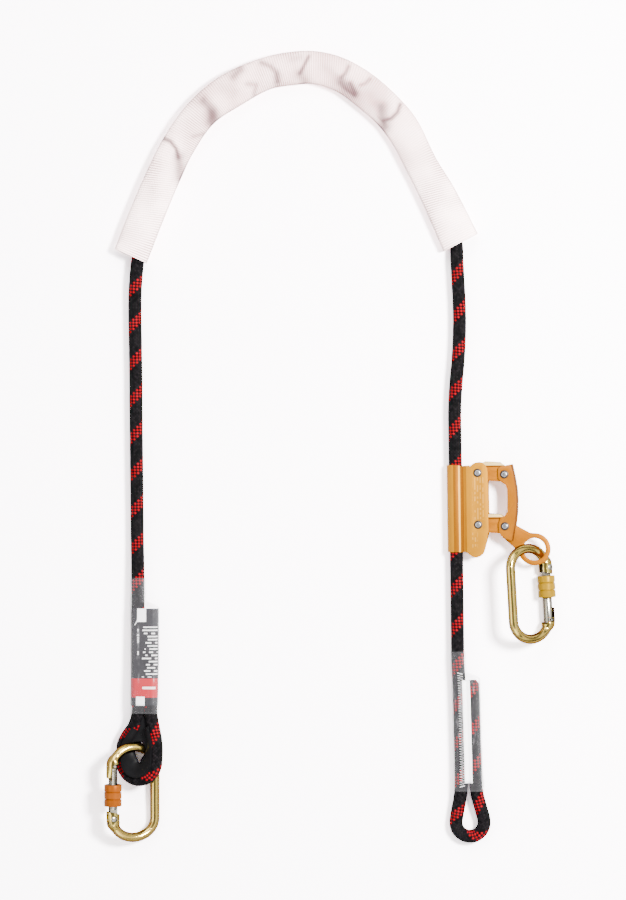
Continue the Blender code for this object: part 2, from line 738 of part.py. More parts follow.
outer_marks = [nearest_run(outer_line, outer_steps, p) for p in sleeve_outer_pixels]
inner_marks = [nearest_run(inner_line, inner_steps, p) for p in sleeve_inner_pixels]
sleeve_rows = []
for inside in (False, True):
    rows = []
    for k in range(sleeve_stations + 1):
        share = k / sleeve_stations
        place = share * (len(outer_marks) - 1)
        low = min(int(place), len(outer_marks) - 2)
        a = outer_marks[low] + (outer_marks[low + 1] - outer_marks[low]) * (place - low)
        b = inner_marks[low] + (inner_marks[low + 1] - inner_marks[low]) * (place - low)
        far = at_runs(outer_line, outer_steps, [a])[0]
        near = at_runs(inner_line, inner_steps, [b])[0]
        crease = sum(math.exp(-((share - c) / crease_spread_share) ** 2) for c in crease_shares)
        middle = (far + near) / 2
        across = (near - far).normalized()
        half = (near - far).length / 2 - (cloth_thickness if inside else 0)
        top = sleeve_height - (cloth_thickness if inside else 0)
        floor = cloth_thickness if inside else 0
        ring = []
        for n in range(sleeve_sides):
            angle = math.tau * (n + 0.5) / sleeve_sides
            c, s = math.cos(angle), math.sin(angle)
            square = sleeve_squareness if s > 0 else sleeve_floor_squareness
            x = half * math.copysign(abs(c) ** square, c)
            z = (top + floor) / 2 + (top - floor) / 2 * math.copysign(abs(s) ** square, s)
            reach = max(0.0, c + crease_reach_share) / (1 + crease_reach_share)
            dent = crease * crease_depth * max(0.0, s) * reach
            ring.append(middle + across * x + Vector((0, 0, z - dent)))
        rows.append(ring)
    sleeve_rows.append(rows)
protective_sleeve = finish("protective_sleeve", grid(sleeve_rows[0] + sleeve_rows[1][::-1], closed=True),
                           cloth_white)

# Adjuster frame: X away from the rope, Y along it, Z out of the cheeks
travel_axis = (on_view(travel_pixels[0]) - on_view(travel_pixels[-1])).normalized()
roll = math.radians(adjuster_roll)
sideways = Vector((travel_axis.y, -travel_axis.x, 0)) * math.cos(roll) + Vector((0, 0, math.sin(roll)))
adjuster_matrix = Matrix((sideways, travel_axis, sideways.cross(travel_axis))).transposed().to_4x4()
adjuster_matrix.translation = on_view(adjuster_pixel, in_channel)
adjuster_frame = frame_at("adjuster_frame", adjuster_matrix)


def on_adjuster(pixel):
    """A pixel of the layout, met in the adjuster's own plane."""
    spot = on_view(pixel, in_channel) - adjuster_matrix.translation
    along = spot.dot(travel_axis)
    flat = spot - travel_axis * along
    return (math.copysign(flat.length, spot.x) / math.cos(roll), along)


body_pins = [on_adjuster(pixel) for pixel in body_pin_pixels]
pin_column = (body_pins[0][0] + body_pins[1][0]) / 2
body_pins = [(pin_column, pin[1]) for pin in body_pins]
link_turn = math.radians(link_angle)
link_step = (link_span * math.cos(link_turn), link_span * math.sin(link_turn))
lever_pins = [(pin[0] + link_step[0], pin[1] + link_step[1]) for pin in body_pins]
drawn_pin = on_adjuster(lever_pin_pixel)
lever_shift = (lever_pins[0][0] - drawn_pin[0], lever_pins[0][1] - drawn_pin[1])


def on_lever(pixel):
    """A pixel of the pieces that follow the lever's pins, met in the adjuster's own plane."""
    spot = on_adjuster(pixel)
    return (spot[0] + lever_shift[0], spot[1] + lever_shift[1])


def hole_cutter(centre, radius, half):
    """A pin's hole through both cheeks, countersunk on the outside."""
    work = lathe([(0, -half - overrun), (countersink_radius, -half - overrun), (countersink_radius, -half),
                  (radius, -half + countersink_depth), (radius, half - countersink_depth),
                  (countersink_radius, half), (countersink_radius, half + overrun), (0, half + overrun)], 16)
    return turned(work, Matrix.Translation((*centre, 0)))


def folded_section():
    """Sheet section round the rope: a round channel, a neck and two straight cheeks, upper half first."""
    neck_turn = math.asin((neck_half - sheet_thickness / 2) / (channel_outer - sheet_thickness / 2))
    mid_radius = channel_outer - sheet_thickness / 2
    upper = [(mid_radius * math.cos(a), mid_radius * math.sin(a))
             for a in np.linspace(math.pi, neck_turn, 13)]
    neck = neck_half - sheet_thickness / 2
    cheek = cheek_half - sheet_thickness / 2
    far_edge = max(on_adjuster(p)[0] for p in cheek_outline_pixels) + overrun
    upper += [(neck_reach, neck), (cheek_start, cheek), (far_edge, cheek)]
    middle = [(x, -z) for x, z in upper[:0:-1]] + upper
    sides = []
    for sign in (1, -1):
        side = []
        for k, point in enumerate(middle):
            a = Vector(middle[max(0, k - 1)])
            b = Vector(middle[min(len(middle) - 1, k + 1)])
            spot = Vector(point)
            before = (spot - a).normalized() if k else (b - spot).normalized()
            after = (b - spot).normalized() if k < len(middle) - 1 else before
            across = Vector((-(before + after).y, (before + after).x)).normalized()
            stretch = 1 / max(0.5, across.dot(Vector((-before.y, before.x))))
            side.append(spot + across * (sign * sheet_thickness / 2 * stretch))
        sides.append(side)
    return sides[0] + sides[1][::-1]


section = folded_section()
top_edge, bottom_edge = on_adjuster((adjuster_pixel[0], adjuster_top_row))[1], \
    on_adjuster((adjuster_pixel[0], adjuster_bottom_row))[1]
body_rows = [[Vector((p.x, y, p.y)) for p in section] for y in (bottom_edge - countersink_radius - overrun,
                                                                top_edge + countersink_radius + overrun)]
adjuster_body = finish("adjuster_body", grid(body_rows), gold_plate, adjuster_frame)
cheek_points = [on_adjuster(p) for p in cheek_outline_pixels]
left_side = -channel_outer - overrun
plan = [(left_side, top_edge), (0, top_edge), *cheek_points, (0, bottom_edge), (left_side, bottom_edge)]
plan_plate = plate(plan, [], -channel_outer - overrun, channel_outer + overrun)
combine(adjuster_body, finish("body_plan", plan_plate, None, adjuster_frame), "INTERSECT")
for name, pin in zip(("upper", "lower"), body_pins):
    cut(adjuster_body, name + "_body_hole", hole_cutter(pin, pin_radius + seat_gap, cheek_half),
        adjuster_frame)


def riveted_pin(name, centre, half):
    head = half - countersink_depth / 2
    tip = half + pin_proud
    tip_radius = pin_head_radius * pin_tip_share
    work = lathe([(0, -tip), (tip_radius, -tip), (pin_head_radius, -half), (pin_radius, -head),
                  (pin_radius, head), (pin_head_radius, half), (tip_radius, tip), (0, tip)], 16)
    placed = turned(work, Matrix.Translation((*centre, 0)))
    return finish(name, placed, pin_steel, adjuster_frame, (*centre, 0))


upper_body_pin = riveted_pin("upper_body_pin", body_pins[0], cheek_half)
lower_body_pin = riveted_pin("lower_body_pin", body_pins[1], cheek_half)
upper_lever_pin = riveted_pin("upper_lever_pin", lever_pins[0], lever_half)
lower_lever_pin = riveted_pin("lower_lever_pin", lever_pins[1], lever_half)


# Links: a folded channel from the body pin to the lever pin, open below
def link(name, pin):
    start, end = (0.0, 0.0), (link_span, 0.0)
    outline = arc(start, link_end_radius, *link_start_angles, 8)
    outline += arc(end, link_end_radius, *link_end_angles, 8)
    web_corner = (link_web_end, link_above)
    first = len(outline)
    outline += [web_corner, (link_web_start, link_above)]
    place = Matrix.Translation((*pin, 0)) @ Matrix.Rotation(link_turn, 4, "Z")
    holes = [(start, pin_radius + seat_gap, 14), (end, pin_radius + seat_gap, 14)]
    work = turned(plate(outline, holes, -link_half, link_half, (first,), link_bend), place)
    made = finish(name, work, gold_plate, adjuster_frame, (*pin, 0))
    inside = link_half - link_sheet
    hollow = [(-link_end_radius - overrun, -link_below - overrun), (link_span + link_end_radius + overrun,
              -link_below - overrun), (link_span + link_end_radius + overrun, link_above + overrun),
              (link_web_end + seat_gap, link_above + overrun),
              (link_web_end + seat_gap, link_above - link_sheet),
              (link_web_start - seat_gap, link_above - link_sheet),
              (link_web_start - seat_gap, link_above + overrun), (-link_end_radius - overrun,
              link_above + overrun)]
    cut(made, name + "_hollow", turned(plate(hollow, [], -inside, inside), place), adjuster_frame)
    return made


upper_link = link("upper_link", body_pins[0])
lower_link = link("lower_link", body_pins[1])


# Cams: a toothed spiral face towards the rope, a hub on the body pin and a tail under the link's web
def cam(name, pin, pocket):
    reach = pin[0] - rope_radius - seat_gap
    face = []
    for k in range(2 * cam_teeth + 1):
        turn = math.radians(cam_low_angle + (cam_high_angle - cam_low_angle) * k / (2 * cam_teeth))
        radius = reach * math.exp(-cam_growth * turn)
        if turn < 0:
            radius = min(radius, reach / math.cos(turn))
        if k % 2:
            radius -= tooth_depth
        face.append((-radius * math.cos(turn), radius * math.sin(turn)))
    hub_top = arc((0, 0), cam_hub, *cam_hub_angles[:2], 2)
    hub_low = arc((0, 0), cam_hub, *cam_hub_angles[2:], 3)
    outline = face + hub_top + [(cam_tail, cam_hub * cam_tail_shares[0]),
                                (cam_tail, -cam_hub * cam_tail_shares[1])] + hub_low
    made = finish(name, turned(plate(outline, [((0, 0), pin_radius + seat_gap, 14)], -cam_half, cam_half),
                               Matrix.Translation((*pin, 0))), cam_steel, adjuster_frame, (*pin, 0))
    if pocket:
        work = lathe([(0, spring_pocket_floor), (spring_pocket_radius, spring_pocket_floor),
                      (spring_pocket_radius, cam_half + overrun), (0, cam_half + overrun)], 20)
        cut(made, name + "_pocket", turned(work, Matrix.Translation((*pin, 0))), adjuster_frame)
    return made


upper_cam = cam("upper_cam", body_pins[0], True)
lower_cam = cam("lower_cam", body_pins[1], False)

# Torsion spring in the upper cam's pocket
spring_base = spring_pocket_floor + spring_wire / 2 + seat_gap
spring_points = []
for k in range(spring_turns * spring_turn_points + 1):
    angle = math.tau * k / spring_turn_points
    spring_points.append(Vector((spring_mean_radius * math.cos(angle), spring_mean_radius * math.sin(angle),
                                 spring_base + spring_rise * k / spring_turn_points)))
print("torsion spring gap to itself (m):", round(least_gap(spring_points, spring_wire, 7), 5))
cam_spring = tube("cam_spring", spring_points, spring_wire / 2, 1, pin_steel, adjuster_frame)
cam_spring.location = (*body_pins[0], 0)

# Lever: a folded channel with its curved spine to the right and a slot at its foot for the eye plate
lever_points = [on_lever(p) for p in lever_outline_pixels]
spine = tuple(range(2, 2 + lever_spine_count - 1))
lever = finish("lever", plate(lever_points, [], -lever_half, lever_half, spine, lever_bend), gold_plate,
               adjuster_frame, (*lever_pins[0], 0))
lever_inside = lever_half - sheet_thickness
slot_height = on_lever((adjuster_pixel[0], lever_slot_row))[1]
spine_points = lever_points[2:2 + lever_spine_count]
lever_left = min(p[0] for p in lever_points) - overrun
lever_top = max(p[1] for p in lever_points) + overrun
lever_low = min(p[1] for p in lever_points) - overrun
lever_right = max(p[0] for p in lever_points) + overrun
inner_spine = [(x - sheet_thickness, y) for x, y in spine_points if y > slot_height]
edge_at_slot = inner_spine[-1][0]
hollow = [(lever_left, lever_low), (lever_right, lever_low), (lever_right, slot_height),
          (edge_at_slot, slot_height)] + inner_spine[::-1] + [(inner_spine[0][0], lever_top),
                                                              (lever_left, lever_top)]
cut(lever, "lever_hollow", plate(hollow, [], -lever_inside, lever_inside), adjuster_frame)
for name, pin in zip(("upper", "lower"), lever_pins):
    cut(lever, name + "_lever_hole", hole_cutter(pin, pin_radius + seat_gap, lever_half), adjuster_frame)

# Eye plate: a ring on an arm that turns on the lower lever pin
ring_centre = on_lever(ring_pixel)
eye_pin = lever_pins[1]
upper_edge = [on_lever(p) for p in eye_upper_pixels]
lower_edge = [on_lever(p) for p in eye_lower_pixels]


def bearing(centre, point):
    return math.degrees(math.atan2(point[1] - centre[1], point[0] - centre[0]))


ring_first, ring_last = bearing(ring_centre, lower_edge[-1]), bearing(ring_centre, upper_edge[0])
root_first, root_last = bearing(eye_pin, upper_edge[-1]), bearing(eye_pin, lower_edge[0]) + 360
eye_outline = arc(ring_centre, ring_outer, ring_first % 360 - 360, ring_last, round_steps)[1:-1]
eye_outline += upper_edge + arc(eye_pin, eye_root, root_first, root_last, 8)[1:-1] + lower_edge
eye_work = plate(eye_outline, [(ring_centre, ring_hole, round_steps)], -ring_half, ring_half)
edges = [edge for edge in eye_work.edges if abs(edge.verts[0].co.z - edge.verts[1].co.z) < seat_gap
         and len(edge.link_faces) == 2 and abs(edge.calc_face_angle(0)) > 1]
bmesh.ops.bevel(eye_work, geom=edges, offset=ring_round, segments=2, profile=0.5, affect="EDGES")
eye_plate = finish("eye_plate", eye_work, gold_plate, adjuster_frame, (*eye_pin, 0))
boss = lathe([(0, -eye_boss_half), (eye_boss, -eye_boss_half), (eye_boss, eye_boss_half),
              (0, eye_boss_half)], 20)
combine(eye_plate, finish("eye_boss", turned(boss, Matrix.Translation((*eye_pin, 0))), None, adjuster_frame),
        "UNION")
cut(eye_plate, "eye_pin_hole", hole_cutter(eye_pin, pin_radius + seat_gap, cheek_half + overrun),
    adjuster_frame)


# Carabiners, each in its own frame: X from the spine to the gate, Y towards the hinge
def carabiner(side, frame, sleeve_material, lock_top, hang):
    across = bow_width / 2
    quarter = [(math.cos(a), math.sin(a)) for a in np.linspace(0, math.pi / 2, 8)]
    path = [(across, fork_end), (across, fork_end + sleeve_edge), (across, bow_straight - fork_blend / 2)]
    path += [(across * c, bow_straight + bow_rise * s) for c, s in quarter]
    path += [(-across * c, bow_straight + bow_rise * s) for c, s in quarter[-2::-1]]
    path += [(-across * c, -bow_straight - bow_rise * s) for c, s in quarter]
    path += [(across * c, -bow_straight - bow_rise * s) for c, s in quarter[-2::-1]]
    path += [(across, nose_end - sleeve_edge), (across, nose_end)]
    rows = []
    for k, (x, y) in enumerate(path):
        before, after = path[max(0, k - 1)], path[min(len(path) - 1, k + 1)]
        along = Vector((after[0] - before[0], after[1] - before[1], 0)).normalized()
        outward = Vector((along.y, -along.x, 0))
        radius = rod_radius
        if x > across / 2:
            beyond = (y - fork_root) / fork_blend if y > 0 else (nose_root - y) / fork_blend
            part = min(1.0, max(0.0, 1 - beyond))
            radius += (fork_radius - rod_radius) * part * part * (3 - 2 * part)
        if k in (0, len(path) - 1):
            radius -= sleeve_edge
        rows.append([Vector((x, y, 0)) + outward * (radius * math.cos(math.tau * n / rod_sides))
                     + Vector((0, 0, radius * math.sin(math.tau * n / rod_sides)))
                     for n in range(rod_sides)])
    bow_origin = frame.matrix_world.inverted() @ hang
    bow = finish(side + "_carabiner_frame", grid(rows), zinc_steel, frame, bow_origin)
    pivot = (across + hinge_offset, hinge_height, 0)
    wide = fork_radius + overrun
    slot = [(across - wide, fork_end - overrun), (across + wide, fork_end - overrun),
            (across + wide, fork_root), (across - wide, fork_root)]
    cut(bow, side + "_fork_slot", plate(slot, [], -fork_slot, fork_slot), frame)
    relief = [(across - wide, fork_end - overrun), (across + fork_radius, fork_end - overrun),
              (across + fork_radius, fork_end), (across - fork_radius, fork_end + fork_relief),
              (across - wide, fork_end + fork_relief)]
    cut(bow, side + "_fork_relief", plate(relief, [], -wide, wide), frame)
    seat = lathe([(0, -rivet_seat - overrun), (rivet_head + seat_gap, -rivet_seat - overrun),
                  (rivet_head + seat_gap, -rivet_seat), (rivet_radius + seat_gap, -rivet_seat),
                  (rivet_radius + seat_gap, rivet_seat), (rivet_head + seat_gap, rivet_seat),
                  (rivet_head + seat_gap, rivet_seat + overrun), (0, rivet_seat + overrun)], 16)
    cut(bow, side + "_rivet_seat", turned(seat, Matrix.Translation(pivot)), frame)
    bore = gate_radius + gate_bore_gap
    trough = arc((0, 0), bore, -90, 90, 8) + [(-wide - overrun, bore), (-wide - overrun, -bore)]
    socket = [[Vector((across + x, y, z)) for x, z in trough] for y in (nose_root, nose_end + overrun)]
    cut(bow, side + "_nose_socket", grid(socket), frame)
    lip = [(across - wide, nose_ear), (across + nose_lip, nose_ear), (across + nose_lip, nose_end + overrun),
           (across - wide, nose_end + overrun)]
    cut(bow, side + "_nose_lip", plate(lip, [], -wide, wide), frame)
    notch = [(across - wide, nose_pin_height - notch_half), (across, nose_pin_height - notch_half)]
    notch += arc((across, nose_pin_height), notch_half, -60, 60, 4)
    notch += [(across, nose_pin_height + notch_half), (across - wide, nose_pin_height + notch_half)]
    cut(bow, side + "_pin_notch", plate(notch, [], -wide, wide), frame)

    gate_profile = [(0, gate_tip), (gate_radius - sleeve_edge, gate_tip),
                    (gate_radius, gate_tip + sleeve_edge),
                    (gate_radius, gate_shoulder), (gate_neck_radius, gate_neck), (0, gate_neck)]
    gate = finish(side + "_gate", turned(lathe(gate_profile, 16, "Y"), Matrix.Translation((across, 0, 0))),
                  gate_steel, frame, pivot)
    tongue = [(across - tongue_half_width, tongue_start), (across + tongue_half_width, tongue_start),
              (across + tongue_half_width, hinge_height)]
    tongue += arc((across, hinge_height), tongue_half_width, 15, 165, 8)
    tongue += [(across - tongue_half_width, hinge_height)]
    tongue_half = fork_slot - seat_gap
    tongue_plate = plate(tongue, [], -tongue_half, tongue_half)
    combine(gate, finish(side + "_tongue", tongue_plate, None, frame), "UNION")
    hole = [(0, -wide), (rivet_radius + seat_gap, -wide), (rivet_radius + seat_gap, wide), (0, wide)]
    cut(gate, side + "_tongue_hole", turned(lathe(hole, 14), Matrix.Translation(pivot)), frame)
    pin_place = (across, nose_pin_height, 0)
    hole = [(0, -wide), (nose_pin_radius + seat_gap, -wide), (nose_pin_radius + seat_gap, wide), (0, wide)]
    cut(gate, side + "_tip_hole", turned(lathe(hole, 12), Matrix.Translation(pin_place)), frame)
    bore_top = hinge_height + tongue_half_width + overrun
    hole = [(0, plunger_bore_floor), (plunger_bore, plunger_bore_floor), (plunger_bore, bore_top),
            (0, bore_top)]
    bore_place = Matrix.Translation((across + plunger_offset, 0, 0))
    cut(gate, side + "_plunger_bore", turned(lathe(hole, 12, "Y"), bore_place), frame)

    rivet_top = rivet_seat + seat_gap
    rivet_tip = rivet_head * rivet_tip_share
    rivet = lathe([(0, -rivet_top - rivet_cap), (rivet_tip, -rivet_top - rivet_cap),
                   (rivet_head, -rivet_top), (rivet_radius, -rivet_top), (rivet_radius, rivet_top),
                   (rivet_head, rivet_top),
                   (rivet_tip, rivet_top + rivet_cap), (0, rivet_top + rivet_cap)], 14)
    finish(side + "_hinge_rivet", turned(rivet, Matrix.Translation(pivot)), gate_steel, frame, pivot)
    pin = lathe([(0, -nose_pin_half), (nose_pin_radius, -nose_pin_half), (nose_pin_radius, nose_pin_half),
                 (0, nose_pin_half)], 12)
    finish(side + "_nose_pin", turned(pin, Matrix.Translation(pin_place)), gate_steel, frame, pin_place)

    tip = fork_root - seat_gap
    back = tip - plunger_length
    plunger = lathe([(0, back), (plunger_radius, back), (plunger_radius, tip - plunger_radius),
                     (plunger_radius * plunger_tip_shares[0], tip - plunger_radius * plunger_tip_shares[1]),
                     (0, tip)], 10, "Y")
    finish(side + "_gate_plunger", turned(plunger, bore_place), gate_steel, frame,
           (across + plunger_offset, back, 0))
    low = plunger_bore_floor + coil_wire / 2 + seat_gap
    high = back - coil_wire / 2 - seat_gap
    coil = []
    for k in range(coil_turns * coil_turn_points + 1):
        angle = math.tau * k / coil_turn_points
        height = low + (high - low) * k / (coil_turns * coil_turn_points)
        coil.append(Vector((across + plunger_offset + coil_mean_radius * math.cos(angle), height,
                            coil_mean_radius * math.sin(angle))))
    print(side, "gate spring gap to itself (m):", round(least_gap(coil, coil_wire, 6), 5))
    tube(side + "_gate_spring", coil, coil_wire / 2, 1, gate_steel, frame)

    base = lock_top - sleeve_length
    outside = [(sleeve_radius - sleeve_edge, base), (sleeve_radius, base + sleeve_edge)]
    for share in sleeve_groove_shares:
        middle = base + sleeve_length * share
        outside += [(sleeve_radius, middle - sleeve_groove_half),
                    (sleeve_radius - sleeve_groove_depth, middle),
                    (sleeve_radius, middle + sleeve_groove_half)]
    outside += [(sleeve_radius, lock_top - sleeve_edge), (sleeve_radius - sleeve_edge, lock_top)]
    inside = [(sleeve_ring_bore, lock_top), (sleeve_ring_bore, lock_top - sleeve_ring),
              (sleeve_nose_bore, lock_top - sleeve_ring), (sleeve_nose_bore, base)]
    lock = turned(lathe(outside + inside, 20, "Y"), Matrix.Translation((across, 0, 0)))
    finish(side + "_lock_sleeve", lock, sleeve_material, frame, (across, base, 0))
    return pivot


def carabiner_matrix(along, across, spot, local_spot):
    along = along.normalized()
    across = (across - along * across.dot(along)).normalized()
    matrix = Matrix((across, along, across.cross(along))).transposed().to_4x4()
    matrix.translation = spot - matrix.to_3x3() @ Vector(local_spot)
    return matrix


tilt, lean, pitch = (math.radians(a) for a in (left_tilt, left_lean, left_pitch))
left_reach = (left_spine_pixel[1] - left_crown_row) * metres_per_pixel / math.cos(pitch)
left_matrix = carabiner_matrix(Vector((math.sin(lean), -math.cos(pitch), -math.sin(pitch))),
                               Vector((-math.cos(tilt), 0, math.sin(tilt))),
                               on_view(left_spine_pixel, left_spine_height),
                               (-bow_width / 2, left_reach - bow_length / 2, 0))
left_carabiner_frame = frame_at("left_carabiner_place", left_matrix)
left_swing = on_view(left_swing_pixel, eye_height)
left_pivot = carabiner("left", left_carabiner_frame, orange_sleeve, left_lock_top, left_swing)

tilt, lean, pitch = (math.radians(a) for a in (right_tilt, right_lean, right_pitch))
ring_shift = adjuster_matrix.to_3x3() @ Vector((*lever_shift, 0))
right_reach = (right_gate_pixel[1] - right_crown_row) * metres_per_pixel / math.cos(lean)
right_matrix = carabiner_matrix(Vector((-math.sin(lean), math.cos(lean), math.sin(pitch))),
                                Vector((math.cos(tilt), 0, -math.sin(tilt))),
                                on_view(right_gate_pixel, right_gate_height) + ring_shift,
                                (bow_width / 2, bow_length / 2 - right_reach, 0))
right_carabiner_frame = frame_at("right_carabiner_place", right_matrix)
right_swing = adjuster_matrix @ Vector((*ring_centre, 0))
right_pivot = carabiner("right", right_carabiner_frame, yellow_sleeve, right_lock_top, right_swing)

# What the record needs, in world coordinates
bpy.context.view_layer.update()
graph = bpy.context.evaluated_depsgraph_get()
spots = []
for item in bpy.data.objects:
    if item.type == "EMPTY" or item.hide_render or item.name == "rope":
        continue
    shape = item.evaluated_get(graph)
    spots += [item.matrix_world @ Vector(corner) for corner in shape.bound_box]
low = [min(s[k] for s in spots) for k in range(3)]
high = [max(s[k] for s in spots) for k in range(3)]
print("rough box", [round(v, 5) for v in low], [round(v, 5) for v in high])
print("lengths", {"rope": round(rope_run, 4), "left eye": round(left_run, 4),
                  "right eye": round(right_run, 4)})


def tell(name, matrix, spot, axis):
    place = matrix @ Vector(spot)
    way = matrix.to_3x3() @ Vector(axis)
    print("joint", name, [round(v, 6) for v in place], [round(v, 6) for v in way])


tell("adjuster", adjuster_matrix, (0, 0, 0), (0, 1, 0))
tell("upper_body_pin", adjuster_matrix, (*body_pins[0], 0), (0, 0, 1))
tell("lower_body_pin", adjuster_matrix, (*body_pins[1], 0), (0, 0, 1))
tell("upper_lever_pin", adjuster_matrix, (*lever_pins[0], 0), (0, 0, 1))
tell("lower_lever_pin", adjuster_matrix, (*lever_pins[1], 0), (0, 0, 1))
tell("ring", adjuster_matrix, (*ring_centre, 0), (0, 0, 1))
tell("left_eye", eye_matrix, (0, 0, 0), (0, 0, 1))
tell("left_swing", left_matrix, left_matrix.inverted() @ left_swing, (0, 0, 1))
for side, matrix, pivot in (("left", left_matrix, left_pivot), ("right", right_matrix, right_pivot)):
    tell(side + "_gate", matrix, pivot, (0, 0, 1))
    tell(side + "_sleeve", matrix, (bow_width / 2, 0, 0), (0, 1, 0))
    tell(side + "_bow", matrix, (0, 0, 0), (0, 0, 1))
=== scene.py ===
import math
from functools import partial

import bpy
import numpy as np
from mathutils import Matrix, Vector


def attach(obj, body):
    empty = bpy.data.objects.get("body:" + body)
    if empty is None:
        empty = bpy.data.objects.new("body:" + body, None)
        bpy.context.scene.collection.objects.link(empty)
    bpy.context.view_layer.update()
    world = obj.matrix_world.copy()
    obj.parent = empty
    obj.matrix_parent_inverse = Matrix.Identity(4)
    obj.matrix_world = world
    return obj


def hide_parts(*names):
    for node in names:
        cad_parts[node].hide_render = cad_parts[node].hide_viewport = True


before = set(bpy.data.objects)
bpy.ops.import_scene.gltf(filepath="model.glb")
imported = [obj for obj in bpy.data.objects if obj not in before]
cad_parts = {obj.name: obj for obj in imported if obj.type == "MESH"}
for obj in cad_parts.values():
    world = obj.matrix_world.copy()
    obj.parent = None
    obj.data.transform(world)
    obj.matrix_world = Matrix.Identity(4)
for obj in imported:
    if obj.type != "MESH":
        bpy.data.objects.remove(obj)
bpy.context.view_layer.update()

# A tree climbing lanyard laid out on a pale floor: rope, cloth sleeve, sewn eyes, cam adjuster, two carabiners.
# Metres, +Z up, seen straight from above. Each piece has its numbers in a dictionary beside its code.
print("frame loaded")

# Camera: a long lens high above, framed as the photograph is
cameraSetup = {
    "height": 5.0, "frameTall": 0.954, "middle": (-0.01848, -0.00313), "focusLevel": 0.009, "sensor": 36.0,
    "clipEnd": 50.0}
cameraData = bpy.data.cameras.new("photoCamera")
cameraData.sensor_width = cameraSetup["sensor"]
cameraData.lens = cameraSetup["sensor"] * (cameraSetup["height"] - cameraSetup["focusLevel"]) / cameraSetup["frameTall"]
cameraData.clip_end = cameraSetup["clipEnd"]
camera = bpy.data.objects.new("photoCamera", cameraData)
bpy.context.scene.collection.objects.link(camera)
camera.location = (*cameraSetup["middle"], cameraSetup["height"])
bpy.context.scene.camera = camera


# Small helpers for modelling
def deselectAll():
    if bpy.context.mode != "OBJECT":
        bpy.ops.object.mode_set(mode="OBJECT")
    bpy.ops.object.select_all(action="DESELECT")


def pick(piece):
    deselectAll()
    piece.select_set(True)
    bpy.context.view_layer.objects.active = piece


def editAll(piece):
    pick(piece)
    bpy.ops.object.mode_set(mode="EDIT")
    bpy.ops.mesh.select_mode(type="VERT")
    bpy.ops.mesh.select_all(action="SELECT")


def outward(piece):
    # faces point outward again; ends edit mode too
    if bpy.context.mode == "OBJECT":
        editAll(piece)
    bpy.ops.mesh.normals_make_consistent(inside=False)
    bpy.ops.object.mode_set(mode="OBJECT")


def smooth(piece, angle):
    pick(piece)
    bpy.ops.object.shade_smooth_by_angle(angle=math.radians(angle))


def placed(piece, place, angle):
    piece.data.transform(place)
    smooth(piece, angle)
    return piece


def shapeBy(piece, kind, **settings):
    # one modifier, applied at once
    step = piece.modifiers.new("step", kind)
    for key, value in settings.items():
        setattr(step, key, value)
    pick(piece)
    bpy.ops.object.modifier_apply(modifier=step.name)


def bevelEdges(piece, width, segments, angle):
    shapeBy(piece, "BEVEL", width=width, segments=segments, limit_method="ANGLE",
            angle_limit=math.radians(angle), use_clamp_overlap=True)


def joinShapes(operation, piece, *others):
    for other in others:
        shapeBy(piece, "BOOLEAN", object=other, operation=operation, solver="EXACT")
        bpy.data.objects.remove(other, do_unlink=True)


cut, weld = partial(joinShapes, "DIFFERENCE"), partial(joinShapes, "UNION")


def giveMaterial(piece, *materials):
    piece.data.materials.clear()
    for material in materials:
        piece.data.materials.append(material)


def settle(piece, material, body, nodes):
    if material:
        giveMaterial(piece, material)
    piece.data.update()
    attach(piece, body)
    if nodes:
        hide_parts(*nodes)


def named(name):
    # the piece that was just added
    piece = bpy.context.object
    piece.name = name
    return piece


def turnedPiece(name, profile, sides=32, axis="Z"):
    # draws a profile of (radius, height) by extruding one point, then spins it
    deselectAll()
    bpy.ops.mesh.primitive_plane_add(size=0.01)
    piece = named(name)
    editAll(piece)
    bpy.ops.mesh.merge(type="CENTER")
    at = Vector((profile[0][0], 0.0, profile[0][1]))
    bpy.ops.transform.translate(value=at)
    for radius, height in profile[1:]:
        there = Vector((radius, 0.0, height))
        bpy.ops.mesh.extrude_region_move(TRANSFORM_OT_translate={"value": there - at})
        at = there
    bpy.ops.mesh.select_all(action="SELECT")
    bpy.ops.mesh.spin(steps=sides, angle=math.tau, center=(0, 0, 0), axis=(0, 0, 1))
    bpy.ops.mesh.select_all(action="SELECT")
    bpy.ops.mesh.remove_doubles(threshold=1e-6)
    outward(piece)
    if axis == "Y":
        piece.data.transform(Matrix.Rotation(-math.pi / 2, 4, "X"))
    return piece


turnSign = -1.0  # with no window the rotate tool turns the other way


def sweptRod(name, stations, sides):
    # stations of (x, y, heading in radians, radius) in the plane of the piece
    deselectAll()
    x, y, heading, radius = stations[0]
    bpy.ops.mesh.primitive_circle_add(vertices=sides, radius=radius, fill_type="NGON", location=(x, y, 0),
                                      rotation=(math.pi / 2, 0, heading - math.pi / 2))
    piece = named(name)
    bpy.ops.object.transform_apply(location=True, rotation=True, scale=True)
    bpy.ops.object.mode_set(mode="EDIT")
    bpy.ops.mesh.select_all(action="SELECT")
    for nextX, nextY, way, size in stations[1:]:
        centre = (nextX, nextY, 0)
        bpy.ops.mesh.extrude_region_move(TRANSFORM_OT_translate={"value": (nextX - x, nextY - y, 0)})
        if abs(way - heading) > 1e-5:
            bpy.ops.transform.rotate(value=turnSign * (way - heading), orient_axis="Z", center_override=centre)
        if abs(size - radius) > 1e-7:
            bpy.ops.transform.resize(value=[size / radius] * 3, center_override=centre)
        x, y, heading, radius = nextX, nextY, way, size
    bpy.ops.mesh.select_all(action="SELECT")
    outward(piece)
    return piece


def block(name, low, high):
    deselectAll()
    bpy.ops.mesh.primitive_cube_add(size=1.0, location=[(a + b) / 2 for a, b in zip(low, high)])
    piece = named(name)
    piece.scale = [b - a for a, b in zip(low, high)]
    bpy.ops.object.transform_apply(location=True, rotation=True, scale=True)
    return piece


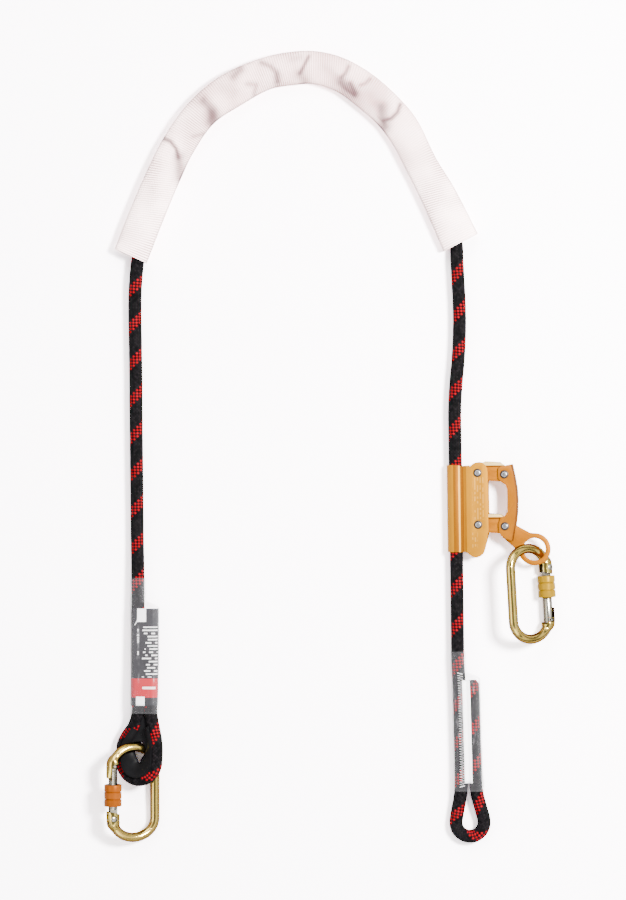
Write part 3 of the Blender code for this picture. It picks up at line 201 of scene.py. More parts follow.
def rod(name, radius, low, high, place, axis="Z", sides=24):
    deselectAll()
    bpy.ops.mesh.primitive_cylinder_add(vertices=sides, radius=radius, depth=high - low)
    piece = named(name)
    move = Matrix.Translation(place) @ (Matrix.Rotation(-math.pi / 2, 4, "X") if axis == "Y" else Matrix())
    piece.data.transform(move @ Matrix.Translation((0, 0, (low + high) / 2)))
    return piece


def meshPiece(name, points, faces, uvs=None):
    # cords, sheets and films are made point by point
    mesh = bpy.data.meshes.new(name)
    mesh.from_pydata([tuple(p) for p in points], [], faces)
    if uvs is not None:
        mesh.uv_layers.new(name="UVMap").data.foreach_set("uv", np.asarray(uvs, dtype=np.float32).ravel())
    mesh.validate()
    piece = bpy.data.objects.new(name, mesh)
    bpy.context.scene.collection.objects.link(piece)
    for face in mesh.polygons:
        face.use_smooth = True
    return piece


def prism(name, outline, low, high):
    count = len(outline)
    piece = meshPiece(name, [(x, y, z) for z in (low, high) for x, y in outline],
                      [tuple(range(count))[::-1], tuple(range(count, 2 * count))]
                      + [(k, (k + 1) % count, count + (k + 1) % count, count + k) for k in range(count)])
    outward(piece)
    return piece


def skinOver(name, rings, aroundUV=1.0, runs=None, loopEnds=False):
    # a skin over rings of equal count, with a UV of (share around, length along)
    count, sides = len(rings), len(rings[0])
    runs = runs or list(range(count))
    faces, uvs = [], []
    for k in range(count if loopEnds else count - 1):
        n = (k + 1) % count
        for s in range(sides):
            t = (s + 1) % sides
            faces.append((k * sides + s, k * sides + t, n * sides + t, n * sides + s))
            u, w = s / sides * aroundUV, (s + 1) / sides * aroundUV
            uvs += [(u, runs[k]), (w, runs[k]), (w, runs[n]), (u, runs[n])]
    if not loopEnds:
        faces += [tuple(range(sides))[::-1], tuple(range((count - 1) * sides, count * sides))]
        uvs += [(s / sides * aroundUV, runs[0]) for s in range(sides)][::-1]
        uvs += [(s / sides * aroundUV, runs[-1]) for s in range(sides)]
    return meshPiece(name, [p for ring in rings for p in ring], faces, uvs)


def tenths(points):
    # places written in tenths of a millimetre, as metres
    return [tuple(v / 10000 for v in point) for point in points]


def splinePoints(points, perSpan=24):
    # a centripetal spline through the points
    points = [Vector(p) for p in points]
    knots = [points[0] * 2 - points[1], *points, points[-1] * 2 - points[-2]]
    line = []
    for a, b, c, d in zip(knots, knots[1:], knots[2:], knots[3:]):
        t1 = (b - a).length ** 0.5
        t2 = t1 + (c - b).length ** 0.5
        t3 = t2 + (d - c).length ** 0.5
        for k in range(perSpan):
            t = t1 + (t2 - t1) * k / perSpan
            ab = a * ((t1 - t) / t1) + b * (t / t1)
            bc = b * ((t2 - t) / (t2 - t1)) + c * ((t - t1) / (t2 - t1))
            cd = c * ((t3 - t) / (t3 - t2)) + d * ((t - t2) / (t3 - t2))
            low = ab * ((t2 - t) / t2) + bc * (t / t2)
            high = bc * ((t3 - t) / (t3 - t1)) + cd * ((t - t1) / (t3 - t1))
            line.append(low * ((t2 - t) / (t2 - t1)) + high * ((t - t1) / (t2 - t1)))
    return [*line, points[-1].copy()]


def runsAlong(line):
    run = [0.0]
    for a, b in zip(line, line[1:]):
        run.append(run[-1] + (b - a).length)
    return run


def evenPlaces(run, count):
    # evenly spaced places along a line: the run there, the span it is in and the share of that span
    places, k = [], 0
    for n in range(count + 1):
        goal = run[-1] * n / count
        while k < len(run) - 2 and run[k + 1] < goal:
            k += 1
        places.append((goal, k, min(1.0, (goal - run[k]) / max(1e-9, run[k + 1] - run[k]))))
    return places


def evenly(line, gap):
    run = runsAlong(line)
    places = evenPlaces(run, max(2, round(run[-1] / gap)))
    return [line[k].lerp(line[k + 1], share) for goal, k, share in places], run[-1]


def headings(line):
    last = len(line) - 1
    return [(line[min(last, k + 1)] - line[max(0, k - 1)]).normalized() for k in range(last + 1)]


def ringAt(centre, way, radius, sides):
    across = way.cross(Vector((0, 0, 1))).normalized()
    up = across.cross(way).normalized()
    return [centre + across * (radius * math.cos(math.tau * s / sides)) - up * (radius * math.sin(math.tau * s / sides))
            for s in range(sides)]


# Node helpers for the materials
def addNode(tree, kind, **settings):
    node = tree.nodes.new(kind)
    for key, value in settings.items():
        setattr(node, key, value)
    return node


def isSocket(value):
    return isinstance(value, bpy.types.NodeSocket)


def feed(socket, value):
    if isSocket(value):
        socket.id_data.links.new(value, socket)
    else:
        socket.default_value = value


def maths(operation, a, b=0.5, clamp=False):
    node = addNode((a if isSocket(a) else b).id_data, "ShaderNodeMath", operation=operation, use_clamp=clamp)
    feed(node.inputs[0], a)
    feed(node.inputs[1], b)
    return node.outputs[0]


times, plus, minus, over = [partial(maths, operation) for operation in ("MULTIPLY", "ADD", "SUBTRACT", "DIVIDE")]


def mixColour(share, a, b):
    node = addNode(share.id_data, "ShaderNodeMix", data_type="RGBA")
    feed(node.inputs["Factor"], share)
    for socket, value in ((node.inputs[6], a), (node.inputs[7], b)):
        feed(socket, value if isSocket(value) else (*value, 1.0))
    return node.outputs[2]


def ranged(value, low, high, least=0.0, most=1.0, kind="SMOOTHSTEP"):
    # from least at low to most at high
    node = addNode(value.id_data, "ShaderNodeMapRange", interpolation_type=kind)
    for label, number in zip(("Value", "From Min", "From Max", "To Min", "To Max"), (value, low, high, least, most)):
        feed(node.inputs[label], number)
    return node.outputs[0]


def between(value, low, high, softness):
    # one inside low..high, falling to zero over the softness
    return times(ranged(value, low - softness, low + softness), ranged(value, high + softness, high - softness))


def patchOf(x, y, across, along, softAcross, softAlong):
    return times(between(x, *across, softAcross), between(y, *along, softAlong))


def coordinate(tree, kind="Object"):
    return addNode(tree, "ShaderNodeTexCoord").outputs[kind]


def separated(socket):
    node = addNode(socket.id_data, "ShaderNodeSeparateXYZ")
    feed(node.inputs[0], socket)
    return node.outputs


def noise(tree, scale, detail=3.0, roughness=0.5, stretch=None):
    node = addNode(tree, "ShaderNodeTexNoise")
    feed(node.inputs["Scale"], scale)
    feed(node.inputs["Detail"], detail)
    feed(node.inputs["Roughness"], roughness)
    vector = coordinate(tree)
    if stretch:
        mapping = addNode(tree, "ShaderNodeMapping")
        feed(mapping.inputs["Scale"], stretch)
        feed(mapping.inputs["Vector"], vector)
        vector = mapping.outputs[0]
    feed(node.inputs["Vector"], vector)
    return node.outputs[0]


def cellChance(x, y):
    # one random value for each whole-number cell
    cell = addNode(x.id_data, "ShaderNodeCombineXYZ")
    feed(cell.inputs["X"], x)
    feed(cell.inputs["Y"], y)
    chance = addNode(x.id_data, "ShaderNodeTexWhiteNoise", noise_dimensions="2D")
    feed(chance.inputs["Vector"], cell.outputs[0])
    return chance.outputs["Value"]


def newGroup(name, inputs, outputs):
    group = bpy.data.node_groups.new(name, "ShaderNodeTree")
    for label, value in inputs.items():
        group.interface.new_socket(label, in_out="INPUT", socket_type="NodeSocketFloat").default_value = value
    for label in outputs:
        group.interface.new_socket(label, in_out="OUTPUT", socket_type="NodeSocketFloat")
    return group, addNode(group, "NodeGroupInput").outputs, addNode(group, "NodeGroupOutput").inputs


def useGroup(tree, group, **values):
    node = addNode(tree, "ShaderNodeGroup")
    node.node_tree = group
    for label, value in values.items():
        feed(node.inputs[label], value)
    return node.outputs


def newMaterial(name, roughness=0.5, specular=0.5):
    material = bpy.data.materials.new(name)
    material.use_nodes = True
    shader = material.node_tree.nodes["Principled BSDF"]
    feed(shader.inputs["Roughness"], roughness)
    feed(shader.inputs["Specular IOR Level"], specular)
    return material, material.node_tree, shader


def paint(shader, colour):
    feed(shader.inputs["Base Color"], colour)


def bump(shader, height, distance):
    node = addNode(height.id_data, "ShaderNodeBump")
    feed(node.inputs["Strength"], 1.0)
    feed(node.inputs["Distance"], distance)
    feed(node.inputs["Height"], height)
    feed(shader.inputs["Normal"], node.outputs[0])


def mottledMaterial(name, look):
    # two colours in soft patches, with a fine grain
    material, tree, shader = newMaterial(name, look["roughness"], look["specular"])
    paint(shader, mixColour(noise(tree, look["patches"]), *look["colours"]))
    bump(shader, noise(tree, look["grain"]), look["depth"])
    return material


# Shared effect: mottled finish with rubbed edges, for plated metal
wornLook = {"cloudDetail": 4.0, "grainScale": 1400.0, "grainDetail": 2.0, "edge": (0.52, 0.62)}
wornFinish, wornIn, wornOut = newGroup("wornFinish", {"Scale": 60.0, "Rubbed": 0.5}, ("Mottle", "Edge", "Grain"))
wornCloud = noise(wornFinish, wornIn["Scale"], wornLook["cloudDetail"])
feed(wornOut["Grain"], noise(wornFinish, wornLook["grainScale"], wornLook["grainDetail"]))
wornEdge = ranged(addNode(wornFinish, "ShaderNodeNewGeometry").outputs["Pointiness"], *wornLook["edge"])
feed(wornOut["Mottle"], wornCloud)
feed(wornOut["Edge"], times(wornEdge, times(wornCloud, wornIn["Rubbed"]), clamp=True))

# Shared effect: the over and under of a braided rope, read from its UV (turns around, metres along)
ropeBraid, braidIn, braidOut = newGroup("ropeBraid", {"Strands": 12.0, "Pitch": 0.039, "Tracers": 4.0},
                                        ("Height", "Tracer", "Shade"))
braidUV = separated(coordinate(ropeBraid, "UV"))
turnsAlong = over(braidUV["Y"], braidIn["Pitch"])
leftWay = times(minus(braidUV["X"], turnsAlong), braidIn["Strands"])
rightWay = times(plus(braidUV["X"], turnsAlong), braidIn["Strands"])
leftCell, rightCell = maths("FLOOR", leftWay), maths("FLOOR", rightWay)
leftPart, rightPart = minus(minus(leftWay, leftCell), 0.5), minus(minus(rightWay, rightCell), 0.5)
whichOver = maths("FLOORED_MODULO", plus(leftCell, rightCell), 2.0)
overIsLeft = minus(1.0, whichOver)
strandDive = 0.8  # how far a strand goes down at the ends of its crossing


def strandShape(across, along):
    side = minus(1.0, maths("POWER", maths("ABSOLUTE", times(across, 2.0)), 2.0), clamp=True)
    dive = minus(1.0, times(maths("POWER", maths("ABSOLUTE", times(along, 2.0)), 2.0), strandDive), clamp=True)
    return times(maths("SQRT", side), dive)


isTracer = maths("LESS_THAN", maths("FLOORED_MODULO", leftCell, braidIn["Strands"]), minus(braidIn["Tracers"], 0.5))
feed(braidOut["Height"], plus(times(strandShape(leftPart, rightPart), overIsLeft),
                              times(strandShape(rightPart, leftPart), whichOver)))
feed(braidOut["Tracer"], times(isTracer, overIsLeft))
feed(braidOut["Shade"], cellChance(leftCell, rightCell))

# Shared effect: a woven tube's ribs, read from its UV (metres around, metres along), with a mask for painted shade in
# the grooves between them
ribLook = {"ribShare": 0.35, "yarnShare": 0.15}
ribbedWeave, ribIn, ribOut = newGroup("ribbedWeave", {"Rib": 0.0024, "Yarn": 0.0011}, ("Height", "GrooveShade"))
ribUV = separated(coordinate(ribbedWeave, "UV"))
ribTurn = over(ribUV["Y"], ribIn["Rib"])
ribWave = maths("SINE", times(ribTurn, math.tau))
yarnPhase = times(maths("FLOORED_MODULO", maths("FLOOR", ribTurn), 2.0), math.pi)
yarnWave = maths("SINE", plus(yarnPhase, times(over(ribUV["X"], ribIn["Yarn"]), math.tau)))
feed(ribOut["Height"], plus(plus(times(ribWave, ribLook["ribShare"]), times(yarnWave, ribLook["yarnShare"])), 0.5))
feed(ribOut["GrooveShade"], minus(0.5, times(ribWave, 0.5), clamp=True))

# Rope: one length from the left tail round the left eye, over the arch, and round the right eye to its tail
ropeSizes = {"radius": 0.007, "ringGap": 0.003, "sides": 28, "exit": (-0.1897, -0.1717, 0.009),
             "endShares": {0: 0.55, 1: 0.93}}  # the first and last rings are smaller
ropeRoute = tenths([
    (-1897, -1717, 90), (-1897, -1939, 98), (-1897, -2257, 121), (-1898, -2575, 149), (-1900, -2819, 172),
    (-1875, -2960, 209), (-1866, -3004, 216), (-1857, -3049, 223), (-1848, -3097, 230), (-1843, -3146, 236),
    (-1841, -3190, 240), (-1845, -3323, 247), (-1852, -3373, 248), (-1871, -3420, 243), (-1901, -3461, 232),
    (-1939, -3492, 217), (-1983, -3512, 199), (-2029, -3518, 179), (-2075, -3512, 158), (-2118, -3492, 138),
    (-2154, -3461, 119), (-2182, -3420, 104), (-2198, -3373, 94), (-2203, -3323, 88), (-2200, -3190, 80),
    (-2192, -3146, 81), (-2171, -3097, 87), (-2141, -3049, 96), (-2110, -3004, 107), (-2079, -2960, 118),
    (-2037, -2819, 130), (-2039, -2575, 121), (-2039, -2257, 109), (-2040, -1939, 98), (-2040, -1706, 90),
    (-2040, -1537, 89), (-2041, -1346, 89), (-2047, -985, 73), (-2051, -561, 73), (-2056, -74, 73), (-2061, 393, 73),
    (-2062, 668, 73), (-2068, 1114, 73), (-2073, 1410, 73), (-2068, 1686, 83), (-2044, 1961, 83), (-2003, 2195, 83),
    (-1918, 2428, 83), (-1769, 2809, 83), (-1589, 3159, 83), (-1346, 3520, 83), (-916, 3827, 83), (-471, 3986, 83),
    (-185, 4002, 83), (70, 3938, 83), (313, 3795, 83), (610, 3530, 83), (769, 3340, 83), (939, 3000, 83),
    (1124, 2682, 83), (1257, 2407, 83), (1331, 2163, 83), (1342, 1961, 91), (1353, 1749, 91), (1364, 1559, 91),
    (1369, 1326, 91), (1365, 1114, 91), (1352, 901, 91), (1335, 711, 91), (1323, 541, 91), (1317, 350, 91),
    (1320, 96, 91), (1327, -402, 91), (1333, -901, 91), (1340, -1399, 91), (1346, -1897, 91), (1349, -2162, 91),
    (1352, -2300, 91), (1361, -2459, 91), (1370, -2734, 91), (1378, -3052, 91), (1385, -3370, 91), (1383, -3646, 91),
    (1335, -3941, 73), (1331, -3982, 73), (1338, -4023, 73), (1356, -4061, 73), (1384, -4092, 73), (1419, -4115, 73),
    (1459, -4126, 73), (1501, -4126, 73), (1542, -4115, 73), (1577, -4092, 73), (1605, -4061, 73), (1623, -4023, 73),
    (1630, -3982, 73), (1626, -3941, 73), (1549, -3646, 91), (1532, -3370, 91), (1521, -3052, 91), (1513, -2734, 91),
    (1504, -2469, 91)])
ropeLine, ropeRun = evenly(splinePoints(ropeRoute), ropeSizes["ringGap"])

# how far the tracers have turned at places along the rope, read from the photo: (metres along, turns)
ropeTwist = [(0.0, -0.33), (0.01, -0.33), (0.135, -0.12), (0.179, 0.0), (0.257, 0.01), (0.419, 0.16), (0.615, 0.175),
             (0.78, 0.15), (1.338, -0.225), (1.545, 0.05), (1.63, 0.28), (1.672, 0.28), (1.713, 0.34), (1.755, 0.42),
             (1.87, 0.45), (1.95, 0.495), (2.03, 0.54), (2.13, 0.60)]


def buildRope():
    last, shares = len(ropeLine) - 1, ropeSizes["endShares"]
    rings = [ringAt(centre, way, ropeSizes["radius"] * shares.get(min(k, last - k), 1.0), ropeSizes["sides"])
             for k, (centre, way) in enumerate(zip(ropeLine, headings(ropeLine)))]
    piece = skinOver("braidedRope", rings, runs=[k * (ropeRun / last) for k in range(last + 1)])
    layer = piece.data.uv_layers["UVMap"].data
    uvs = np.empty(len(layer) * 2, dtype=np.float32)
    layer.foreach_get("uv", uvs)
    uvs = uvs.reshape(-1, 2)
    uvs[:, 0] += np.interp(uvs[:, 1], *zip(*ropeTwist))
    layer.foreach_set("uv", uvs.ravel())
    return piece


rope = buildRope()
ropeLook = {
    "black": (0.0030, 0.0030, 0.0034), "blackPale": (0.015, 0.0125, 0.014), "red": (0.30, 0.0, 0.004),
    "redPale": (0.42, 0.0, 0.010), "groove": (0.0008, 0.0008, 0.001), "grooveCurve": 0.6, "grooveShare": 0.85,
    "bump": 0.0004}
ropeMaterial, tree, shader = newMaterial("ropeSheath", 0.85, 0.05)
braid = useGroup(tree, ropeBraid)
blacks = mixColour(braid["Shade"], ropeLook["black"], ropeLook["blackPale"])
reds = mixColour(braid["Shade"], ropeLook["red"], ropeLook["redPale"])
# painted shade: the braid is painted darker towards the grooves between its strands
grooveShare = minus(1.0, maths("POWER", braid["Height"], ropeLook["grooveCurve"]), clamp=True)
ropeColourAndShade = mixColour(times(grooveShare, ropeLook["grooveShare"]), mixColour(braid["Tracer"], blacks, reds),
                     ropeLook["groove"])
paint(shader, ropeColourAndShade)
bump(shader, braid["Height"], ropeLook["bump"])
settle(rope, ropeMaterial, "lanyard", ["rope", "rope_left_eye", "rope_right_eye"])
print("rope made, metres:", round(ropeRun, 3))

# Cloth sleeve: a ribbed woven tube over the arch, flattened, with soft folds where it bends, dented and darkened by
# painted shade
sleeveOuter = tenths([
    (-2286, 2099), (-2149, 2453), (-1979, 2855), (-1767, 3278), (-1493, 3659), (-1171, 3928), (-752, 4114),
    (-471, 4181), (-185, 4198), (112, 4134), (430, 3960), (748, 3679), (918, 3467), (1119, 3064), (1320, 2735),
    (1561, 2263)])
sleeveInner = tenths([
    (-1948, 1946), (-1767, 2411), (-1599, 2813), (-1452, 3122), (-1234, 3430), (-969, 3610), (-630, 3795),
    (-397, 3836), (-185, 3848), (70, 3764), (250, 3636), (494, 3424), (642, 3234), (801, 2937), (949, 2640),
    (1201, 2072)])
sleeveSizes = {
    "height": 0.0190, "cloth": 0.0010, "ropeTop": 0.0156, "ropeHalf": 0.0095, "ropeClear": 0.0012, "least": 0.002,
    "gap": 0.0018, "sides": 72, "squareTop": 0.86, "squareFloor": 0.6, "flat": (0.092, 0.46), "foldWidth": 1.45,
    "shadeRimFrom": 0.90, "shadeRimGain": 5.0, "insideShade": 0.85}
# each fold: its line in plan, spread, painted shade, depth
sleeveFolds = [(tenths(line), *numbers) for line, *numbers in [
    (((-1764, 3265), (-1695, 3233), (-1637, 3159), (-1610, 3064)), 0.0018, 0.95, 0.0022),
    (((-1610, 3064), (-1595, 2958), (-1595, 2852)), 0.0045, 0.75, 0.003),
    (((-1351, 3668), (-1287, 3594), (-1239, 3498)), 0.0042, 0.8, 0.003),
    (((-1245, 3541), (-1266, 3435)), 0.0048, 0.8, 0.0026),
    (((-1457, 3286), (-1404, 3297), (-1351, 3318)), 0.0016, 0.55, 0.001),
    (((-884, 3838), (-789, 3832), (-810, 3732)), 0.0019, 0.6, 0.0012),
    (((-736, 4071), (-641, 4028), (-577, 3965), (-556, 3869)), 0.0021, 0.75, 0.0018),
    (((-566, 3944), (-577, 3859)), 0.0037, 0.5, 0.0014), (((-959, 3997), (-1033, 3922)), 0.0036, 0.7, 0.0014),
    (((-232, 4134), (-280, 4039), (-323, 3954)), 0.0016, 0.9, 0.002),
    (((-333, 3944), (-280, 3880)), 0.0048, 0.65, 0.0018),
    (((191, 4028), (154, 3954), (112, 3912)), 0.0018, 0.8, 0.0016),
    (((112, 3859), (176, 3785), (250, 3732)), 0.0042, 0.9, 0.003), (((207, 3848), (260, 3742)), 0.0021, 0.85, 0.002),
    (((419, 3896), (366, 3848), (313, 3827)), 0.0017, 0.7, 0.0014),
    (((737, 3626), (706, 3541), (642, 3477), (568, 3456)), 0.0018, 0.95, 0.0022),
    (((536, 3594), (547, 3498), (568, 3392)), 0.0053, 0.85, 0.0034),
    (((-58, 3997), (6, 3954), (59, 3901)), 0.0042, 0.35, 0.001), (((398, 3732), (441, 3647)), 0.0053, 0.35, 0.0012),
    (((-1149, 3806), (-1043, 3763)), 0.0053, 0.3, 0.0008), (((-1913, 2725), (-1955, 2566)), 0.0053, 0.18, 0.0006),
    (((-323, 4124), (-407, 4103)), 0.0032, 0.4, 0.0008)]]


def foldDepth(place):
    # how deep and how much painted shade the cloth gets at a place in plan
    deep, shaded = 0.0, 0.0
    for line, spread, shade, depth in sleeveFolds:
        nearest = 1.0
        for (ax, ay), (bx, by) in zip(line, line[1:]):
            dx, dy = bx - ax, by - ay
            part = ((place.x - ax) * dx + (place.y - ay) * dy) / (dx * dx + dy * dy)
            part = min(1.0, max(0.0, part))
            nearest = min(nearest, math.hypot(place.x - ax - part * dx, place.y - ay - part * dy))
        wide = math.exp(-(nearest / (spread * sleeveSizes["foldWidth"])) ** 2)
        deep = max(deep, depth * math.exp(-(nearest / spread) ** 2))
        shaded = 1.0 - (1.0 - shaded) * (1.0 - shade * wide)
    return deep, shaded


def buildSleeve():
    sizes, sides = sleeveSizes, sleeveSizes["sides"]
    outer, inner = [splinePoints([(x, y, 0) for x, y in edge]) for edge in (sleeveOuter, sleeveInner)]
    middle = [(a + b) / 2 for a, b in zip(outer, inner)]
    run = runsAlong(middle)
    places = evenPlaces(run, round(run[-1] / sizes["gap"]))
    ropePlan = np.array([(p.x, p.y) for p in ropeLine])
    shells = []
    for cloth in (0.0, sizes["cloth"]):  # the outside, then the inside
        shell = []
        for goal, k, part in places:
            plan = np.array(middle[k].xy)
            nearest = ropePlan[np.argmin(((ropePlan - plan) ** 2).sum(axis=1))]
            ropeAside = float(np.dot(nearest - plan, np.array((inner[k] - outer[k]).normalized().xy)))
            far, near = outer[k].lerp(outer[k + 1], part), inner[k].lerp(inner[k + 1], part)
            across, half = (near - far).normalized(), (near - far).length / 2 - cloth
            top, floor = sizes["height"] - cloth, cloth
            ring, shades = [], []
            for s in range(sides):
                angle = math.tau * (s + 0.5) / sides
                c, h = math.cos(angle), math.sin(angle)
                square = sizes["squareTop"] if h > 0 else sizes["squareFloor"]
                x = half * math.copysign(abs(c) ** square, c)
                z = (top + floor) / 2 + (top - floor) / 2 * math.copysign(abs(h) ** square, h)
                deep, shaded = foldDepth((far + near) / 2 + across * x)
                # painted shade: the cloth is painted darker in its folds and towards its sides, and its inside is
                # painted darker too
                rim = max(0.0, abs(x) / half - sizes["shadeRimFrom"]) * sizes["shadeRimGain"]
                shades.append(sizes["insideShade"] if cloth else min(1.0, shaded * (h > 0) + rim))
                if h > 0:
                    overRope = abs(x - ropeAside) < sizes["ropeHalf"]
                    lowest = sizes["ropeTop"] - cloth + sizes["ropeClear"] if overRope else 0.0
                    z = max(z - deep * h ** 0.5, min(z, max(floor + sizes["least"], lowest)))
                ring.append((far + near) / 2 + across * x + Vector((0, 0, z)))
            shell.append((ring, goal, shades))
        shells.append(shell)
    rings, runs, shades = zip(*shells[0], *shells[1][::-1])
    piece = skinOver("clothSleeve", rings, sizes["flat"][0], runs, True)
    shadeLayer = piece.data.attributes.new("paintedClothShade", "FLOAT", "POINT")
    shadeLayer.data.foreach_set("value", [shade for ring in shades for shade in ring])
    outward(piece)
    return piece


clothSleeve = buildSleeve()
# painted light: the face colour is above one, so the cloth gives back more light than falls on it; the fold, groove and
# arch colours are painted shade
clothLook = {
    "face": (3.60, 2.84, 2.70), "groove": (0.66, 0.36, 0.36), "stainAndShade": (1.55, 0.90, 0.86),
    "fold": (0.15, 0.068, 0.078), "foldShadeShare": 0.97, "arch": (0.27, 0.365, 0.12, 0.90), "stains": (28.0, 0.9, 0.25),
    "ribs": (0.38, 0.58, 0.22, 0.92), "ribNoise": (22.0, 1.5), "bump": 0.0007}
clothMaterial, tree, shader = newMaterial("clothWeave", 0.9, 0.1)
weave = useGroup(tree, ribbedWeave)
paintedClothShade = addNode(tree, "ShaderNodeAttribute", attribute_name="paintedClothShade").outputs["Fac"]
archPaintedShade = ranged(separated(coordinate(tree))["Y"], *clothLook["arch"], "LINEAR")  # painted shade: darker over the arch, in patches
stainScale, stainGain, stainBase = clothLook["stains"]
clothStain = plus(times(noise(tree, stainScale), stainGain), stainBase, clamp=True)
clothColourAndPaintedLight = mixColour(times(archPaintedShade, clothStain), clothLook["face"], clothLook["stainAndShade"])
ribPatches = ranged(noise(tree, *clothLook["ribNoise"]), *clothLook["ribs"], "LINEAR")  # the painted shade in the rib grooves shows in places only
# painted shade in the grooves between the ribs
clothColourAndPaintedLight = mixColour(times(weave["GrooveShade"], ribPatches), clothColourAndPaintedLight, clothLook["groove"])
# painted shade in the folds, along the sides and inside the tube
clothColourAndPaintedLight = mixColour(times(paintedClothShade, clothLook["foldShadeShare"]), clothColourAndPaintedLight, clothLook["fold"])
paint(shader, clothColourAndPaintedLight)
bump(shader, weave["Height"], clothLook["bump"])
settle(clothSleeve, clothMaterial, "lanyard", ["protective_sleeve"])
print("cloth sleeve made")

# Clear covers, label, strip and stitching over the sewn ends, each along its two strands: the near one and the tail
leftNear = tenths([
    (-2040, -1388, 89), (-2040, -1537, 89), (-2040, -1621, 89), (-2040, -1706, 90), (-2040, -1939, 98),
    (-2039, -2257, 109), (-2039, -2575, 121), (-2037, -2819, 130)])
leftTail = leftNear[:3] + tenths([
    (-1897, -1706, 90), (-1897, -1939, 98), (-1897, -2257, 121), (-1898, -2575, 149), (-1900, -2819, 172)])
rightNear = tenths([
    (1349, -2167, 91), (1352, -2300, 91), (1356, -2374, 91), (1361, -2459, 91), (1370, -2734, 91), (1378, -3052, 91),
    (1385, -3370, 91), (1383, -3646, 91)])
rightTail = rightNear[:3] + tenths([
    (1504, -2459, 91), (1513, -2734, 91), (1521, -3052, 91), (1532, -3370, 91), (1549, -3646, 91)])
coverSizes = {
    "wall": 0.0007, "inside": 0.0012, "radius": 0.007, "sides": 44, "perSpan": 10, "outerEase": 0.0002,
    "innerWrinkle": 0.5, "wrinkles": ((0.00012, 2.1, 0.0), (0.00010, 0.77, 1.3)), "labelGap": 0.00055,
    "labelWall": 0.00025, "levelSpan": 12}


def rowsBetween(rows, perSpan):
    made = []
    for a, b in zip(rows, rows[1:]):
        for k in range(perSpan):
            share = k / perSpan
            ease = share * share * (3 - 2 * share)
            made.append(Vector([p + (q - p) * part for p, q, part in zip(a, b, (ease, share, ease))]))
    return [*made, Vector(rows[-1])]


def capsuleRing(near, tail, offset, sides, first=0.0, last=360.0):
    across = Vector((tail.x - near.x, 0, tail.z - near.z))
    turn = math.atan2(across.z, across.x) if across.length > 1e-6 else 0.0
    ring = []
    for s in range(sides):
        angle = math.radians(first + (last - first) * s / (sides if last - first == 360.0 else sides - 1))
        centre = tail if math.cos(angle) > 0 else near
        if abs(math.cos(angle)) < 0.04:  # straight above or below the middle
            centre = near.lerp(tail, 0.5)
        ring.append(centre + Vector((offset * math.cos(angle + turn), 0, offset * math.sin(angle + turn))))
    return ring


def buildCover(name, nearRows, tailRows):
    sizes = coverSizes
    outer, inner = [], []
    for k, (a, b) in enumerate(zip(*[rowsBetween(rows, sizes["perSpan"]) for rows in (nearRows, tailRows)])):
        wrinkle = sum(size * math.sin(k * step + start) for size, step, start in sizes["wrinkles"])
        reach = sizes["radius"] + sizes["inside"]
        outer.append(capsuleRing(a, b, reach + sizes["wall"] + wrinkle - sizes["outerEase"], sizes["sides"]))
        inner.append(capsuleRing(a, b, reach + wrinkle * sizes["innerWrinkle"], sizes["sides"]))
    piece = skinOver(name, outer + inner[::-1], loopEnds=True)
    outward(piece)
    return piece


filmLook = {
    "film": (0.80, 0.78, 0.81), "alpha": 0.022, "edgeAlpha": 0.16, "haze": 0.020, "glintStrength": 0.16,
    "glintRange": (0.60, 0.74), "hazeNoise": (90.0, 4.0, 0.6, (1.0, 0.35, 1.0)), "facing": 0.35, "ior": 1.45,
    "glintNoise": (150.0, 3.0, 0.6, (1.0, 0.22, 1.0)), "bumpNoise": (160.0, 3.0, 0.55, (1.0, 0.4, 1.0)),
    "bump": 0.0006}
filmMaterial, tree, shader = newMaterial("clearFilm", 0.16)
feed(shader.inputs["IOR"], filmLook["ior"])
paint(shader, (*filmLook["film"], 1.0))
filmFacing = addNode(tree, "ShaderNodeLayerWeight")
feed(filmFacing.inputs["Blend"], filmLook["facing"])
filmEdge = times(filmFacing.outputs["Facing"], filmLook["edgeAlpha"] - filmLook["alpha"])
filmAlpha = plus(times(noise(tree, *filmLook["hazeNoise"]), filmLook["haze"]),
                 plus(filmLook["alpha"] - filmLook["haze"] / 2, filmEdge))
# painted highlight: streaks where the film is whiter and less clear stand in for glints on it
filmPaintedGlint = ranged(noise(tree, *filmLook["glintNoise"]), *filmLook["glintRange"])
feed(shader.inputs["Alpha"], plus(filmAlpha, times(filmPaintedGlint, filmLook["glintStrength"])))
bump(shader, noise(tree, *filmLook["bumpNoise"]), filmLook["bump"])
for name, near, tail, node in (("leftClearCover", leftNear, leftTail, "left_clear_cover"),
                               ("rightClearCover", rightNear, rightTail, "right_clear_cover")):
    cover = buildCover(name, near, tail)
    settle(cover, filmMaterial, "lanyard", [node])


def betweenLevels(nearRows, tailRows, high, low, count):
    # the two strands' middles at evenly spaced levels between two places along the cover
    near, tail = rowsBetween(nearRows, coverSizes["levelSpan"]), rowsBetween(tailRows, coverSizes["levelSpan"])
    made = []
    for n in range(count + 1):
        level = high + (low - high) * n / count
        k = max([i for i in range(len(near) - 1) if near[i].y >= level] or [0])
        part = min(1.0, max(0.0, (near[k].y - level) / max(1e-9, near[k].y - near[k + 1].y)))
        made.append((near[k].lerp(near[k + 1], part), tail[k].lerp(tail[k + 1], part)))
    return made


